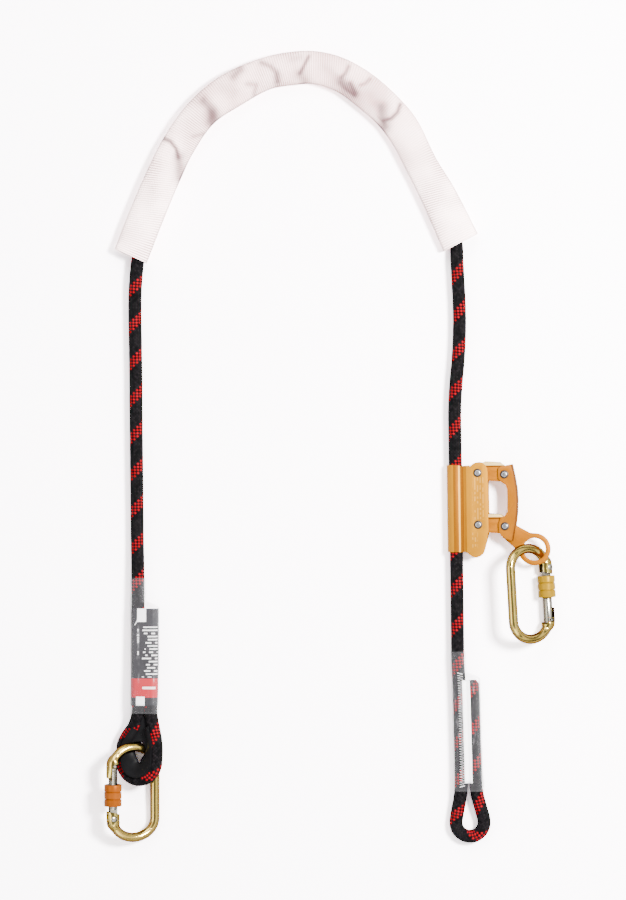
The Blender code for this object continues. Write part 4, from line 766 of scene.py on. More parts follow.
labelSizes = {"top": -0.1709, "bottom": -0.2736, "rows": 40, "sides": 30, "angles": (6.0, 150.0)}
labelReach = coverSizes["radius"] + coverSizes["labelGap"]
labelRings = []
for near, tail in betweenLevels(leftNear, leftTail, labelSizes["top"], labelSizes["bottom"], labelSizes["rows"]):
    low, high = [capsuleRing(near, tail, reach, labelSizes["sides"], *labelSizes["angles"])
                 for reach in (labelReach, labelReach + coverSizes["labelWall"])]
    labelRings.append(low + high[::-1])
leftLabel = skinOver("blankLabel", labelRings)
outward(leftLabel)
# painted light: the pale print colour is above one, brighter than white can reflect
labelLook = {
    "field": (0.016, 0.015, 0.018), "block": (0.52, 0.002, 0.014), "pale": (1.4, 1.36, 1.36), "show": 0.72,
    "barRows": (-0.2436, -0.1900), "bars": (-0.2000, -0.1830), "barPitch": 0.0033, "barShare": 0.46,
    "barCell": 0.0040, "barRagged": 0.009, "barShift": 0.02, "barGaps": 0.16, "markRows": (-0.2200, -0.1915),
    "marks": (-0.2044, -0.2028), "blockRows": (-0.2649, -0.2448),
    "blockMarks": ((-0.1990, -0.1850), (-0.2560, -0.2535)),
    "palePatches": (((-0.2045, -0.1952), (-0.1850, -0.1706)), ((-0.2057, -0.1965), (-0.2752, -0.2640))),
    "stripPlace": (0.1966, 0.1695), "stripWay": (0.874, -0.486), "stripWide": (-0.0005, 0.0005),
    "stripRows": (-0.1886, -0.1700), "edge": 0.0002, "blockEdge": 0.0003, "markEdge": 0.0004, "patches": 300.0,
    "fieldPale": 1.5, "grain": (500.0, 0.0001), "markNoise": (420.0, 1.0, 0.5, (0.1, 1.0, 0.0))}
labelEdge = labelLook["edge"]
labelMaterial, tree, shader = newMaterial("labelFace", 0.5, 0.1)
labelPlace = separated(coordinate(tree))
labelX, labelY = labelPlace["X"], labelPlace["Y"]
labelFace = mixColour(noise(tree, labelLook["patches"]), labelLook["field"],
                      [v * labelLook["fieldPale"] for v in labelLook["field"]])
labelFace = mixColour(between(labelY, *labelLook["blockRows"], labelLook["blockEdge"]), labelFace, labelLook["block"])
for across, along in labelLook["palePatches"]:
    labelFace = mixColour(patchOf(labelX, labelY, across, along, labelEdge, labelEdge), labelFace, labelLook["pale"])
# plain pale bars stand where the photo shows small print
barRow = over(labelY, labelLook["barPitch"])
barNumber = maths("FLOOR", barRow)
barOn = maths("LESS_THAN", minus(barRow, barNumber), labelLook["barShare"])
barRandom = addNode(tree, "ShaderNodeTexWhiteNoise", noise_dimensions="1D")
feed(barRandom.inputs["W"], barNumber)
barStart = plus(labelLook["bars"][0], times(barRandom.outputs["Value"], labelLook["barRagged"]))
barInside = times(maths("GREATER_THAN", labelX, barStart), maths("LESS_THAN", labelX, labelLook["bars"][1]))
barShift = plus(labelX, times(barRandom.outputs["Value"], labelLook["barShift"]))
barChance = cellChance(maths("FLOOR", over(barShift, labelLook["barCell"])), barNumber)
barShow = times(times(barOn, barInside), times(maths("GREATER_THAN", barChance, labelLook["barGaps"]),
                                               between(labelY, *labelLook["barRows"], labelEdge)))
markChance = maths("GREATER_THAN", noise(tree, *labelLook["markNoise"]), 0.5)
markShow = times(between(labelX, *labelLook["marks"], labelEdge),
                 times(between(labelY, *labelLook["markRows"], labelLook["markEdge"]), markChance))
stripAway = plus(*[times(plus(place, start), share) for place, start, share in
                   zip((labelX, labelY), labelLook["stripPlace"], labelLook["stripWay"])])
for show in (barShow, markShow, patchOf(labelX, labelY, *labelLook["blockMarks"], labelEdge, labelEdge),
             patchOf(stripAway, labelY, labelLook["stripWide"], labelLook["stripRows"], labelEdge, labelEdge)):
    labelFace = mixColour(times(show, labelLook["show"]), labelFace, labelLook["pale"])
paint(shader, labelFace)
bump(shader, noise(tree, labelLook["grain"][0]), labelLook["grain"][1])
settle(leftLabel, labelMaterial, "lanyard", ["left_label"])

stripSizes = {"top": -0.2470, "bottom": -0.3560, "width": 0.0082, "wall": 0.0003, "gap": 0.0007, "rows": 30, "steps": 8,
              "follow": 0.35}  # how much the strip follows the strands' round tops
stripRings = []
for near, tail in betweenLevels(rightNear, rightTail, stripSizes["top"], stripSizes["bottom"], stripSizes["rows"]):
    ring = []
    for n in range(stripSizes["steps"] + 1):
        x = stripSizes["width"] * (n / stripSizes["steps"] - 0.5)
        side = abs((tail - near).length / 2 - abs(x))
        rise = math.sqrt(max(0.0, coverSizes["radius"] ** 2 - side ** 2)) * stripSizes["follow"]
        rise += coverSizes["radius"] * (1.0 - stripSizes["follow"])
        ring.append(near.lerp(tail, 0.5) + Vector((x, 0, rise + stripSizes["gap"])))
    stripRings.append(ring + [p + Vector((0, 0, stripSizes["wall"])) for p in ring[::-1]])
rightStrip = skinOver("blankStrip", stripRings)
outward(rightStrip)
# painted light: the strip's colours are above one, brighter than white can reflect
stripLook = {
    "roughness": 0.55, "specular": 0.5, "patches": 220.0, "grain": 240.0, "depth": 0.00015,
    "colours": ((2.0, 1.94, 1.94), (1.6, 1.55, 1.55))}
settle(rightStrip, mottledMaterial("stripFace", stripLook), "lanyard", ["right_label_strip"])
print("covers and labels made")

stitchSizes = {"thick": 0.00048, "step": 0.00135, "proud": 0.00055, "sides": 6, "rows": {  # strand, from, to, angles
    "rightStitching": (rightNear, rightTail, 0, -0.2390, -0.3600, (101.0, 57.0)),
    "rightEdgeStitching": (rightNear, rightTail, 1, -0.2480, -0.3600, (22.0, 2.0)),
    "leftEdgeStitching": (leftNear, leftTail, 0, -0.1560, -0.2780, (178.0, 160.0))}}
# painted light: the thread's colours are above one, brighter than white can reflect
stitchLook = {
    "roughness": 0.6, "specular": 0.5, "patches": 700.0, "grain": 1600.0, "depth": 0.0001,
    "colours": ((1.60, 1.56, 1.56), (1.20, 1.17, 1.18))}
stitchMaterial = mottledMaterial("stitchThread", stitchLook)
for name, (near, tail, strand, top, bottom, angles) in stitchSizes["rows"].items():
    line, reach = [], coverSizes["radius"] + stitchSizes["proud"]
    for n, pair in enumerate(betweenLevels(near, tail, top, bottom, round((top - bottom) / stitchSizes["step"]))):
        angle = math.radians(angles[n % 2])
        line.append(pair[strand] + Vector((reach * math.cos(angle), 0, reach * math.sin(angle))))
    thread = skinOver(name, [ringAt(centre, way, stitchSizes["thick"], stitchSizes["sides"])
                             for centre, way in zip(line, headings(line))])
    settle(thread, stitchMaterial, "lanyard", [])
print("stitching made")

# Thimble in the left eye: a groove round the eye with a web in its throat, in the eye's leaning plane
eyePlace = Matrix(((0.9135454, 0.02593, -0.4059093, -0.20239), (0.0, 0.9979658, 0.0637514, -0.332257),
                   (0.4067366, -0.0582398, 0.9116871, 0.016772), (0, 0, 0, 1)))
groovePath = tenths([
    (-70, 365), (-102, 321), (-134, 277), (-163, 234), (-187, 182), (-196, 131), (-196, 66), (-196, 0), (-189, -51),
    (-170, -98), (-139, -139), (-98, -170), (-51, -189), (0, -196), (51, -189), (98, -170), (139, -139), (170, -98),
    (189, -51), (196, 0), (196, 66), (196, 131), (193, 182), (184, 234), (174, 277), (163, 321), (152, 365)])
thimbleSizes = {
    "inner": 0.0075, "wall": 0.0018, "wrap": 78.0, "perSpan": 12, "ringGap": 0.0014, "turns": 17,
    "heights": (0.001, 0.004, 0.006, 0.0085, 0.0127, 0.018),
    "leftCrown": (0.0090, 0.0076, 0.0062, 0.0052, 0.0040, 0.0),
    "rightCrown": (0.0090, 0.0070, 0.0052, 0.0034, 0.0018, 0.0), "web": (-0.0025, 0.0025), "flap": (0.0009, 0.0024),
    "dot": (0.0009, -0.01, 0.01, (0.0021935, 0.0285, 0)),
    "riser": ((-0.0092, 0.0212, -0.0072), (-0.0015, 0.0236, 0.0)),
    "ledge": ((-0.0092, 0.0140, -0.0073), (-0.0015, 0.0225, -0.0062)), "rounding": (0.0005, 3, 40.0), "smooth": 40.0}
webOutline = tenths([
    (-78, 188), (-41, 203), (-13, 206), (16, 206), (45, 198), (76, 186), (107, 176), (93, 258), (82, 300), (78, 335),
    (74, 380), (64, 430), (50, 475), (36, 475), (24, 430), (10, 380), (-4, 325), (-34, 272), (-65, 230), (-93, 175)])
flapOutline = tenths([
    (45, 192), (62, 174), (72, 136), (112, 120), (122, 160), (100, 215), (60, 222)])


def buildThimble():
    sizes = thimbleSizes
    line, run = evenly(splinePoints([(x, y, 0) for x, y in groovePath], sizes["perSpan"]), sizes["ringGap"])
    wrap = math.radians(sizes["wrap"])
    rings = []
    for centre, way in zip(line, headings(line)):
        inward = Vector((-way.y, way.x, 0))
        crown = float(np.interp(centre.y, sizes["heights"], sizes["rightCrown" if centre.x > 0 else "leftCrown"]))
        rings.append([centre + inward * ((radius + bulge * math.cos(a) ** 3) * math.cos(a))
                      + Vector((0, 0, radius * math.sin(a)))
                      for radius, bulge, end in ((sizes["inner"] + sizes["wall"], crown, wrap),
                                                 (sizes["inner"], 0.0, -wrap))
                      for a in np.linspace(-end, end, sizes["turns"])])
    piece, web = skinOver("eyeThimble", rings), prism("thimbleWeb", webOutline, *sizes["web"])
    outward(piece)
    weld(web, prism("thimbleFlap", flapOutline, *sizes["flap"]), block("throatRiser", *sizes["riser"]),
         block("throatLedge", *sizes["ledge"]))
    cut(web, rod("webDot", *sizes["dot"]))
    weld(piece, web)
    bevelEdges(piece, *sizes["rounding"])
    return placed(piece, eyePlace, sizes["smooth"])


thimble = buildThimble()
plasticLook = {
    "roughness": 0.42, "specular": 0.06, "patches": 130.0, "grain": 900.0, "depth": 0.00012,
    "colours": ((0.004, 0.004, 0.0045), (0.009, 0.0085, 0.0095)), "rough": (420.0, 0.34, 0.16)}
plasticMaterial = mottledMaterial("thimblePlastic", plasticLook)
scale, base, share = plasticLook["rough"]
tree = plasticMaterial.node_tree
feed(tree.nodes["Principled BSDF"].inputs["Roughness"], plus(base, times(noise(tree, scale), share)))
settle(thimble, plasticMaterial, "lanyard", ["left_thimble"])
print("thimble made")

# Carabiners, each modelled in its own plane: x from the spine to the gate, y towards the hinge
bow = {
    "rod": 0.005, "width": 0.048, "length": 0.106, "straight": 0.028, "forkRadius": 0.0070, "forkEnd": 0.0188,
    "forkRoot": 0.0322, "forkBlend": 0.0062, "forkSlot": 0.0032, "forkRelief": 0.0034, "forkPlaces": (0.0225, 0.0252),
    "hingeHeight": 0.0268, "hingeOffset": 0.0012, "noseRoot": -0.0334, "noseEar": -0.0266, "noseEnd": -0.0162,
    "nosePlace": -0.0262, "noseLip": 0.0036, "notch": 0.0023, "edge": 0.0008, "sides": 32, "arcSteps": 22,
    "cutPast": 0.004, "rounding": (0.00035, 2, 38.0), "smooth": 40.0}
gateSizes = {
    "radius": 0.0048, "tip": -0.0324, "tipSteps": ((0.0008, 0.0), (0.0002, 0.0003), (0.0, 0.0010)),
    "shoulder": 0.0140, "shoulderStep": (0.0004, 0.0009), "neck": 0.0178, "neckRadius": 0.0036, "tongueWide": 0.0039,
    "tongueHalf": 0.0029, "tongueStart": 0.0120, "boreGap": 0.0004, "holeGap": 0.0003, "tipGap": 0.0002,
    "threadPitch": 0.0012, "threadDepth": 0.00035, "pinRadius": 0.0015, "pinHalf": 0.0066, "pinHeight": -0.0290,
    "pinEdge": 0.0003, "threads": {"left": (-0.0251, -0.0080), "right": (-0.0040, 0.0070)}, "sides": 32,
    "pinSides": 24, "smooth": 32.0, "pinSmooth": 40.0}
rivetSizes = {
    "radius": 0.0018, "head": 0.0032, "seat": 0.0060, "cap": 0.0010, "gap": 0.0003, "through": 0.012,
    "dome": ((1.0, 0.0), (0.93, 0.45), (0.7, 0.85), (0.3, 1.0), (0.0, 1.0)), "sides": 28, "smooth": 40.0}
lockSizes = {
    "radius": 0.0092, "length": 0.0230, "ring": 0.0050, "ringBore": 0.0051, "noseBore": 0.0074, "grooveDepth": 0.0009,
    "grooveHalf": 0.0008, "grooves": (0.33, 0.67), "edge": 0.0008, "softEdge": 0.0002, "boreEdge": 0.0003,
    "tops": {"left": 0.0136, "right": 0.0178}, "sides": 48, "smooth": 34.0,
    "grooveShape": ((0, -1), (0.8, -0.5), (1, 0), (0.8, 0.5), (0, 1))}
carabinerPlaces = {
    "left": Matrix(((-0.9065296, 0.0, 0.4221424, -0.2080348), (-0.0220932, -0.9986295, -0.0474441, -0.3652762),
                    (0.4215638, -0.052336, 0.9052872, 0.0167175), (0, 0, 0, 1))),
    "right": Matrix(((0.7969392, -0.0558215, 0.6014746, 0.2103274), (0.0445558, 0.9984407, 0.0336277, -0.1551403),
                     (-0.602414, 0.0, 0.7981837, 0.0238079), (0, 0, 0, 1)))}


plating = {
    "tint": (0.35, 2.0, 0.35), "fine": (16, 2.0, 0.7, 0.35), "edge": (1.25, 0.05), "rim": (0.14, 0.46, 0.0, 0.92),
    "rimGlint": 4, "roughness": (0.8, 1.2), "specular": 0.06}


def platedMaterial(name, deep, pale, tint, roughness, rubbed=0.6, scale=55.0, metallic=1.0, depth=0.00005, rim=None):
    material, tree, shader = newMaterial(name, 0.5, 0.5 if metallic == 1.0 else plating["specular"])
    worn = useGroup(tree, wornFinish, Scale=scale, Rubbed=rubbed)
    size, detail, share = plating["tint"]
    face = mixColour(times(noise(tree, scale * size, detail), share), mixColour(worn["Mottle"], deep, pale), tint)
    size, detail, rough, share = plating["fine"]
    face = mixColour(times(noise(tree, scale * size, detail, rough), share), face, pale)
    gain, base = plating["edge"]
    face = mixColour(worn["Edge"], face, [min(1.0, v * gain + base) for v in pale])
    if rim:  # painted shade: the steel is painted darker where it turns away
        feed(shader.inputs["Specular Tint"], (*[min(1.0, v * plating["rimGlint"]) for v in rim], 1))
        facing = addNode(tree, "ShaderNodeLayerWeight").outputs["Facing"]
        face = mixColour(ranged(facing, *plating["rim"]), face, rim)
    paint(shader, face)
    feed(shader.inputs["Metallic"], metallic)
    feed(shader.inputs["Roughness"], ranged(worn["Mottle"], 0.0, 1.0, *[roughness * v for v in plating["roughness"]],
                                            "LINEAR"))
    bump(shader, worn["Grain"], depth)
    return material


# rim colours: painted shade along the sides of the bow and the gate
yellowZinc = platedMaterial("yellowZincSteel", (0.62, 0.43, 0.075), (0.92, 0.70, 0.17), (0.72, 0.42, 0.17), 0.12,
                            rim=(0.10, 0.050, 0.014))
gateSteel = platedMaterial("gateSteel", (0.42, 0.40, 0.34), (0.62, 0.60, 0.52), (0.52, 0.46, 0.28), 0.22,
                           rim=(0.08, 0.065, 0.045))
lockFinish = {side: platedMaterial(name, *colours, 0.30, metallic=0.15) for side, name, colours in (
    ("left", "orangeAnodised", ((0.25, 0.054, 0.0), (0.31, 0.074, 0.0), (0.28, 0.064, 0.0))),
    ("right", "yellowAnodised", ((0.29, 0.155, 0.0), (0.34, 0.190, 0.0), (0.31, 0.170, 0.0))))}


def bowStations():
    across, rise = bow["width"] / 2, bow["length"] / 2 - bow["rod"] - bow["straight"]
    quarter = [math.pi / 2 * k / bow["arcSteps"] for k in range(bow["arcSteps"] + 1)]
    points = [(across, y) for y in (bow["forkEnd"], bow["forkEnd"] + bow["edge"], *bow["forkPlaces"])]
    for right, up, arc in ((1, 1, quarter), (-1, 1, quarter[-2::-1]), (-1, -1, quarter), (1, -1, quarter[-2::-1])):
        points += [(right * across * math.cos(a), up * (bow["straight"] + rise * math.sin(a))) for a in arc]
    points += [(across, y) for y in (bow["nosePlace"], bow["noseEnd"] - bow["edge"], bow["noseEnd"])]
    stations, heading, last = [], None, len(points) - 1
    for k, (x, y) in enumerate(points):
        before, after = points[max(0, k - 1)], points[min(last, k + 1)]
        way = math.atan2(after[1] - before[1], after[0] - before[0])
        if heading is not None:
            way += math.tau * round((heading - way) / math.tau)
        heading, radius = way, bow["rod"]
        if x > across / 2:  # thicker at the fork and at the nose
            beyond = (y - bow["forkRoot"] if y > 0 else bow["noseRoot"] - y) / bow["forkBlend"]
            part = min(1.0, max(0.0, 1 - beyond))
            radius += (bow["forkRadius"] - bow["rod"]) * part * part * (3 - 2 * part)
        stations.append((x, y, way, radius - bow["edge"] if k in (0, last) else radius))
    return stations


def buildBow(side):
    middle, clear, end, mouth = bow["width"] / 2, bow["cutPast"], bow["forkEnd"], bow["noseEnd"] + bow["cutPast"]
    wide, slot, relief, root = bow["forkRadius"] + clear, bow["forkSlot"], end + bow["forkRelief"], bow["noseRoot"]
    low, high, deep, gap = middle - wide, middle + bow["forkRadius"], rivetSizes["through"], rivetSizes["gap"]
    bore, pin, notch = gateSizes["radius"] + gateSizes["boreGap"], gateSizes["pinHeight"], bow["notch"]
    pivot, seat = (middle + bow["hingeOffset"], bow["hingeHeight"], 0), (rivetSizes["head"] + gap, rivetSizes["seat"])
    piece = sweptRod(side + "Bow", bowStations(), bow["sides"])
    cut(piece, block("slot", (low, end - clear, -slot), (middle + wide, bow["forkRoot"], slot)),
        prism("relief", [(low, end - clear), (high, end - clear), (high, end), (middle - bow["forkRadius"], relief),
                         (low, relief)], -wide, wide),
        rod("rivetHole", rivetSizes["radius"] + gap, -deep, deep, pivot),
        rod("rivetSeat", seat[0], seat[1], deep, pivot), rod("rivetSeat", seat[0], -deep, -seat[1], pivot),
        rod("noseSocket", bore, root, mouth, (middle, 0, 0), "Y", 40),
        block("noseMouth", (low - clear, root, -bore), (middle, mouth, bore)),
        block("noseLip", (low, bow["noseEar"], -wide), (middle + bow["noseLip"], mouth, wide)),
        block("pinNotch", (low, pin - notch, -wide), (middle, pin + notch, wide)),
        rod("pinSeat", notch, -wide, wide, (middle, pin, 0)))
    bevelEdges(piece, *bow["rounding"])
    return placed(piece, carabinerPlaces[side], bow["smooth"])


def buildGate(side):
    middle, sizes, radius, height = bow["width"] / 2, gateSizes, gateSizes["radius"], bow["hingeHeight"]
    low, high = sizes["threads"][side]
    pitch, wide, half = sizes["threadPitch"], sizes["tongueWide"], sizes["tongueHalf"]
    turns = int((high - low) / pitch)
    profile = [(0, sizes["tip"]), *[(radius - inward, sizes["tip"] + up) for inward, up in sizes["tipSteps"]]]
    for k in range(turns):
        profile += [(radius, low + k * pitch), (radius - sizes["threadDepth"], low + k * pitch + pitch * 0.5)]
    inward, up = sizes["shoulderStep"]
    profile += [(radius, low + turns * pitch), (radius, sizes["shoulder"]), (radius - inward, sizes["shoulder"] + up),
                (sizes["neckRadius"], sizes["neck"]), (0, sizes["neck"])]
    piece = turnedPiece(side + "GateBarrel", profile, sizes["sides"], "Y")
    piece.data.transform(Matrix.Translation((middle, 0, 0)))
    tongue = block("tongue", (middle - wide, sizes["tongueStart"], -half), (middle + wide, height, half))
    weld(tongue, rod("tongueRound", wide, -half, half, (middle, height, 0), "Z", sizes["sides"]))
    weld(piece, tongue)
    deep, pivot = rivetSizes["through"], (middle + bow["hingeOffset"], height, 0)
    cut(piece, rod("tongueHole", rivetSizes["radius"] + sizes["holeGap"], -deep, deep, pivot),
        rod("tipHole", sizes["pinRadius"] + sizes["tipGap"], -deep, deep, (middle, sizes["pinHeight"], 0)))
    return placed(piece, carabinerPlaces[side], sizes["smooth"])


def buildRivet(side):
    sizes, top = rivetSizes, rivetSizes["seat"] + rivetSizes["gap"]
    dome = [(sizes["head"] * wide, top + sizes["cap"] * up) for wide, up in sizes["dome"]]
    profile = [(r, -z) for r, z in dome[::-1]] + [(sizes["radius"], -top), (sizes["radius"], top)] + dome
    pivot = Matrix.Translation((bow["width"] / 2 + bow["hingeOffset"], bow["hingeHeight"], 0))
    piece = turnedPiece(side + "HingeRivet", profile, sizes["sides"])
    return placed(piece, carabinerPlaces[side] @ pivot, sizes["smooth"])


def buildNosePin(side):
    r, h, e = gateSizes["pinRadius"], gateSizes["pinHalf"], gateSizes["pinEdge"]
    profile = [(0, -h), (r - e, -h), (r, -h + e), (r, h - e), (r - e, h), (0, h)]
    middle = Matrix.Translation((bow["width"] / 2, gateSizes["pinHeight"], 0))
    piece = turnedPiece(side + "NosePin", profile, gateSizes["pinSides"])
    return placed(piece, carabinerPlaces[side] @ middle, gateSizes["pinSmooth"])


def buildLock(side):
    sizes, top, base = lockSizes, lockSizes["tops"][side], lockSizes["tops"][side] - lockSizes["length"]
    r, e, soft, inner = sizes["radius"], sizes["edge"], sizes["softEdge"], sizes["boreEdge"]
    bore, noseBore, ring = sizes["ringBore"], sizes["noseBore"], top - sizes["ring"]
    profile = [(r - e, base), (r - soft, base + inner), (r, base + e)]
    for share in sizes["grooves"]:
        profile += [(r - sizes["grooveDepth"] * deep, base + sizes["length"] * share + sizes["grooveHalf"] * aside)
                    for deep, aside in sizes["grooveShape"]]
    profile += [(r, top - e), (r - soft, top - inner), (r - e, top), (bore + inner, top), (bore, top - inner),
                (bore, ring), (noseBore, ring), (noseBore, base + inner), (noseBore + inner, base)]
    piece = turnedPiece(side + "LockSleeve", profile + [profile[0]], sizes["sides"], "Y")
    return placed(piece, carabinerPlaces[side] @ Matrix.Translation((bow["width"] / 2, 0, 0)), sizes["smooth"])


for side in ("left", "right"):
    for build, material, body, node, slot in (
            (buildBow, yellowZinc, "_carabiner", "_carabiner_frame", "yellow_zinc_steel"),
            (buildGate, gateSteel, "_gate_arm", "_gate", "gate_steel"),
            (buildRivet, gateSteel, "_carabiner", "_hinge_rivet", "gate_steel"),
            (buildNosePin, gateSteel, "_gate_arm", "_nose_pin", "gate_steel"),
            (buildLock, lockFinish[side], "_lock", "_lock_sleeve", None)):
        piece = build(side)
        settle(piece, material, side + body, [side + node])
    for node in ("_gate_plunger", "_gate_spring"):
        giveMaterial(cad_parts[side + node], gateSteel)
    print(side, "carabiner made")

# Adjuster: pressed sheet metal, each piece taken from its solid with its edges rounded
goldBody = platedMaterial("goldSheet", (0.44, 0.168, 0.0), (0.56, 0.235, 0.0), (0.50, 0.195, 0.0), 0.48,
                          0.5, 45.0, 0.25, 0.00010)
goldLever = platedMaterial("goldLever", (0.36, 0.108, 0.0), (0.46, 0.150, 0.0), (0.40, 0.125, 0.0), 0.44,
                           0.5, 45.0, 0.3, 0.00010)
pinZinc = platedMaterial("pinZinc", (0.55, 0.56, 0.58), (0.80, 0.80, 0.82), (0.60, 0.62, 0.68), 0.28, 0.4, 120.0)
# painted shade: a near-black ring round each pin end stands in for the shadowed gap there
pinShadeRing = platedMaterial("pinShadeRing", (0.030, 0.024, 0.022), (0.075, 0.060, 0.050), (0.05, 0.035, 0.03), 0.45, 0.4, 120.0)
camSteel = platedMaterial("camSteel", (0.40, 0.40, 0.42), (0.60, 0.60, 0.62), (0.50, 0.48, 0.44), 0.38, 0.5, 90.0)
adjusterPlace = Matrix(((0.9936883, -0.0126572, -0.11146, 0.132941), (0.0125783, 0.99992, -0.0014109, -0.064607),
                        (0.1114689, 0.0, 0.993768, 0.0091), (0, 0, 0, 1)))
# bands of painted shade and painted highlight over a pressed piece, across (X) or along (Y) it: (from, to, softness,
# colour, strength)
channelShadeAndHighlightBands = [(-0.0096, -0.0082, 0.0004, (0.33, 0.12, 0.02), 0.7), (-0.0018, 0.0036, 0.0004, (0.24, 0.075, 0.0), 0.9),
                (0.0037, 0.0054, 0.0003, (0.95, 0.50, 0.12), 0.85), (0.0056, 0.0092, 0.0004, (0.20, 0.060, 0.0), 0.9)]
cheekMarks = {
    "columns": (0.0186, 0.0302), "rows": (-0.0126, 0.0322), "columnPitch": 0.0029, "columnShare": 0.5, "cell": 0.0024,
    "filled": 0.42, "colour": (0.86, 0.44, 0.09), "strength": 0.42, "lowColumns": (0.0176, 0.0236),
    "lowRows": (-0.0420, -0.0262), "soft": (0.0003, 0.0006)}
# painted highlight along each link's bent top, with painted shade lines below it
linkHighlightAndShadeBands = [(0.0447, 0.0500, 0.0002, (1.0, 0.74, 0.30), 0.9), (0.0430, 0.0446, 0.0002, (0.13, 0.035, 0.0), 0.9),
             (-0.0099, -0.0068, 0.0002, (1.0, 0.74, 0.30), 0.9), (-0.0122, -0.0103, 0.0002, (0.13, 0.035, 0.0), 0.9),
             (-0.0066, -0.0040, 0.0002, (0.16, 0.045, 0.0), 0.9)]
bandLook = {"speckleScale": 900.0, "speckleDetail": 2.0, "edgeTurn": (-0.05, 0.35), "shadeSideColour": (0.10, 0.028, 0.004)}


def alongAdjuster(tree, axis, kind="Object"):
    # how far a place or a normal goes along one of the adjuster's own directions
    way = adjusterPlace.col[axis].to_3d()
    dot = addNode(tree, "ShaderNodeVectorMath", operation="DOT_PRODUCT")
    feed(dot.inputs[0], coordinate(tree, kind))
    feed(dot.inputs[1], way)
    value = dot.outputs["Value"]
    return value if kind == "Normal" else minus(value, way.dot(adjusterPlace.col[3].to_3d()))


def bandedMaterial(material, name, bands, axis, speckle=0.0, paintedShadeSide=0.0, marks=None):
    # a copy of a plated material with bands of painted shade and highlight over its colour, placed in the adjuster's
    # own directions; it can add marks and a painted-shade side
    made = material.copy()
    made.name = name
    tree = made.node_tree
    socket = tree.nodes["Principled BSDF"].inputs["Base Color"]
    face = socket.links[0].from_socket
    place = alongAdjuster(tree, axis)
    for low, high, soft, colour, strength in bands:
        speckles = times(noise(tree, bandLook["speckleScale"], bandLook["speckleDetail"]), 2 * speckle)
        grain = plus(1.0 - speckle, speckles, clamp=True)
        face = mixColour(times(between(place, low, high, soft), times(grain, strength)), face, colour)
    if marks:
        row, column = alongAdjuster(tree, 1), over(place, marks["columnPitch"])
        columnOn = maths("LESS_THAN", maths("FRACT", column), marks["columnShare"])
        chance = cellChance(maths("FLOOR", column), maths("FLOOR", over(row, marks["cell"])))
        filled = maths("GREATER_THAN", chance, marks["filled"])
        field = plus(patchOf(place, row, marks["columns"], marks["rows"], *marks["soft"]),
                     patchOf(place, row, marks["lowColumns"], marks["lowRows"], *marks["soft"]), clamp=True)
        shown = times(field, times(columnOn, filled))
        face = mixColour(times(shown, marks["strength"]), face, marks["colour"])
    if paintedShadeSide:
        # painted shade: darker where the sheet turns sideways
        turned = ranged(alongAdjuster(tree, 0, "Normal"), *bandLook["edgeTurn"])
        face = mixColour(times(turned, paintedShadeSide), face, bandLook["shadeSideColour"])
    feed(socket, face)
    return made


channelGold = bandedMaterial(goldBody, "goldChannel", channelShadeAndHighlightBands, 0, 0.35, marks=cheekMarks)
linkGold = bandedMaterial(goldLever, "goldLinks", linkHighlightAndShadeBands, 1)
leverGold = bandedMaterial(goldLever, "goldLeverArm", [], 1, paintedShadeSide=0.85)


sheetSizes = {"weld": 2e-6, "flat": 1.0, "segments": 2, "angle": 34.0, "smooth": 36.0}


def roundedCopy(node, name, width):
    piece = bpy.data.objects.new(name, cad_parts[node].data.copy())
    bpy.context.scene.collection.objects.link(piece)
    editAll(piece)
    bpy.ops.mesh.remove_doubles(threshold=sheetSizes["weld"])
    bpy.ops.mesh.dissolve_limited(angle_limit=math.radians(sheetSizes["flat"]))
    bpy.ops.object.mode_set(mode="OBJECT")
    bevelEdges(piece, width, sheetSizes["segments"], sheetSizes["angle"])
    smooth(piece, sheetSizes["smooth"])
    return piece


for node, name, width, material, body in (
        ("adjuster_body", "adjusterBody", 0.0004, channelGold, "adjuster"),
        ("upper_link", "upperLink", 0.0003, linkGold, "upper_cam_link"),
        ("lower_link", "lowerLink", 0.0003, linkGold, "lower_cam_link"),
        ("lever", "leverArm", 0.0004, leverGold, "lever_arm"),
        ("eye_plate", "eyePlate", 0.0003, goldLever, "eye")):
    piece = roundedCopy(node, name, width)
    settle(piece, material, body, [node])
pinSizes = {
    "radius": 0.0028, "ring": 0.0044, "core": 0.0027, "lift": 0.00012, "rim": 0.0003, "proud": 0.0006, "half": 0.0082,
    "step": 0.0001, "slope": 0.0002, "crown": (0.8, 0.35), "sides": 40, "smooth": 30.0}
pinPlaces = {
    "upper_body_pin": (0.0240165, 0.0370132), "lower_body_pin": (0.0240165, -0.0178998),
    "upper_lever_pin": (0.0523508, 0.0350815), "lower_lever_pin": (0.0523508, -0.0198315)}


def buildPin(node):
    radius, ring, core, half = [pinSizes[key] for key in ("radius", "ring", "core", "half")]
    step, slope, (far, near) = pinSizes["step"], pinSizes["slope"], pinSizes["crown"]
    low, rim, tip = half + pinSizes["lift"], half + pinSizes["lift"] + pinSizes["rim"], half + pinSizes["proud"]
    end = [(radius, low), (ring - step, low), (ring, rim - step), (ring - slope, rim), (core + slope, rim),
           (core, rim + step), (core * far, tip), (core * near, tip + step), (0, tip + step)]
    piece = turnedPiece(node.replace("_", ""), [(r, -z) for r, z in end[::-1]] + end, pinSizes["sides"])
    giveMaterial(piece, pinZinc, pinShadeRing)
    # the ring faces get the painted-shade material
    for face in piece.data.polygons:
        aside = math.hypot(face.center.x, face.center.y)
        face.material_index = 1 if aside > core + step / 2 and abs(face.center.z) > half else 0
    return placed(piece, adjusterPlace @ Matrix.Translation((*pinPlaces[node], 0)), pinSizes["smooth"])


for node in pinPlaces:
    settle(buildPin(node), None, "adjuster" if "body" in node else "lever_arm", [node])
for node, material in (("upper_cam", camSteel), ("lower_cam", camSteel), ("cam_spring", pinZinc)):
    giveMaterial(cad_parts[node], material)
print("adjuster made")

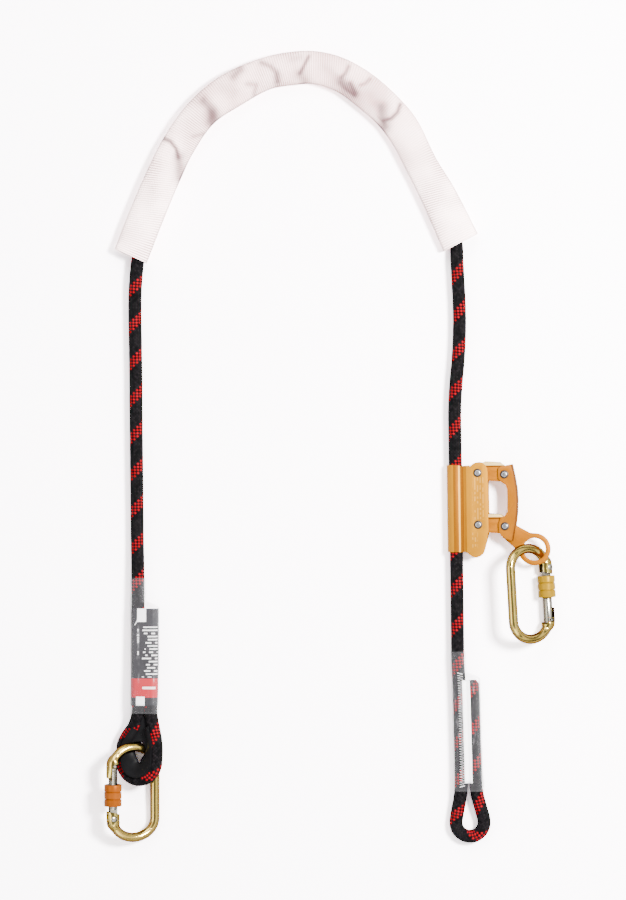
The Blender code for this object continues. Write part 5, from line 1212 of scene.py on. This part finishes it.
# Pale floor and soft studio light, the key from the right
studio = {"floorSize": 40.0, "seen": (3.3, 3.1, 3.2), "lit": (0.80, 0.79, 0.80),  # brighter to the camera only
          "lights": {"keyRight": ((1.25, 0.42, 2.1), 0.5, 162.0), "topSide": ((-0.2, 2.1, 1.9), 1.3, 30.0),
                     "fillLeft": ((-2.1, -0.3, 2.0), 1.3, 13.0), "bottomSide": ((0.3, -2.2, 2.1), 1.3, 13.0)},
          "sky": ((0.0, 0.06), (0.22, 0.14), (0.26, 1.15), (0.44, 1.15), (0.48, 0.08), (0.58, 0.08), (0.62, 1.5),
                  (0.84, 1.5), (0.89, 0.22), (1.0, 0.20)), "skyStrength": 1.14, "skyTint": 0.99}
deselectAll()
bpy.ops.mesh.primitive_plane_add(size=studio["floorSize"], location=(0, 0, 0))
floor = named("studioFloor")
floorMaterial, tree, shader = newMaterial("paleFloor", 0.9, 0.0)
seenDirectly = addNode(tree, "ShaderNodeLightPath").outputs["Is Camera Ray"]
paint(shader, mixColour(seenDirectly, studio["lit"], studio["seen"]))
giveMaterial(floor, floorMaterial)
for name, (place, size, power) in studio["lights"].items():
    lamp = bpy.data.lights.new(name, "AREA")
    lamp.size = size
    lamp.energy = power
    lampObject = bpy.data.objects.new(name, lamp)
    lampObject.location = place
    lampObject.rotation_euler = Vector(place).to_track_quat("Z", "Y").to_euler()
    bpy.context.scene.collection.objects.link(lampObject)
world = bpy.data.worlds.new("studio")
bpy.context.scene.world = world
world.use_nodes = True
tree = world.node_tree
ramp = addNode(tree, "ShaderNodeValToRGB")
while len(ramp.color_ramp.elements) < len(studio["sky"]):
    ramp.color_ramp.elements.new(0.5)
for element, (place, level) in zip(ramp.color_ramp.elements, studio["sky"]):
    element.position = place
    element.color = (level, level * studio["skyTint"], level * studio["skyTint"], 1)
feed(ramp.inputs[0], separated(coordinate(tree, "Generated"))["Z"])
feed(tree.nodes["Background"].inputs["Color"], ramp.outputs[0])
feed(tree.nodes["Background"].inputs["Strength"], studio["skyStrength"])
print("studio made")
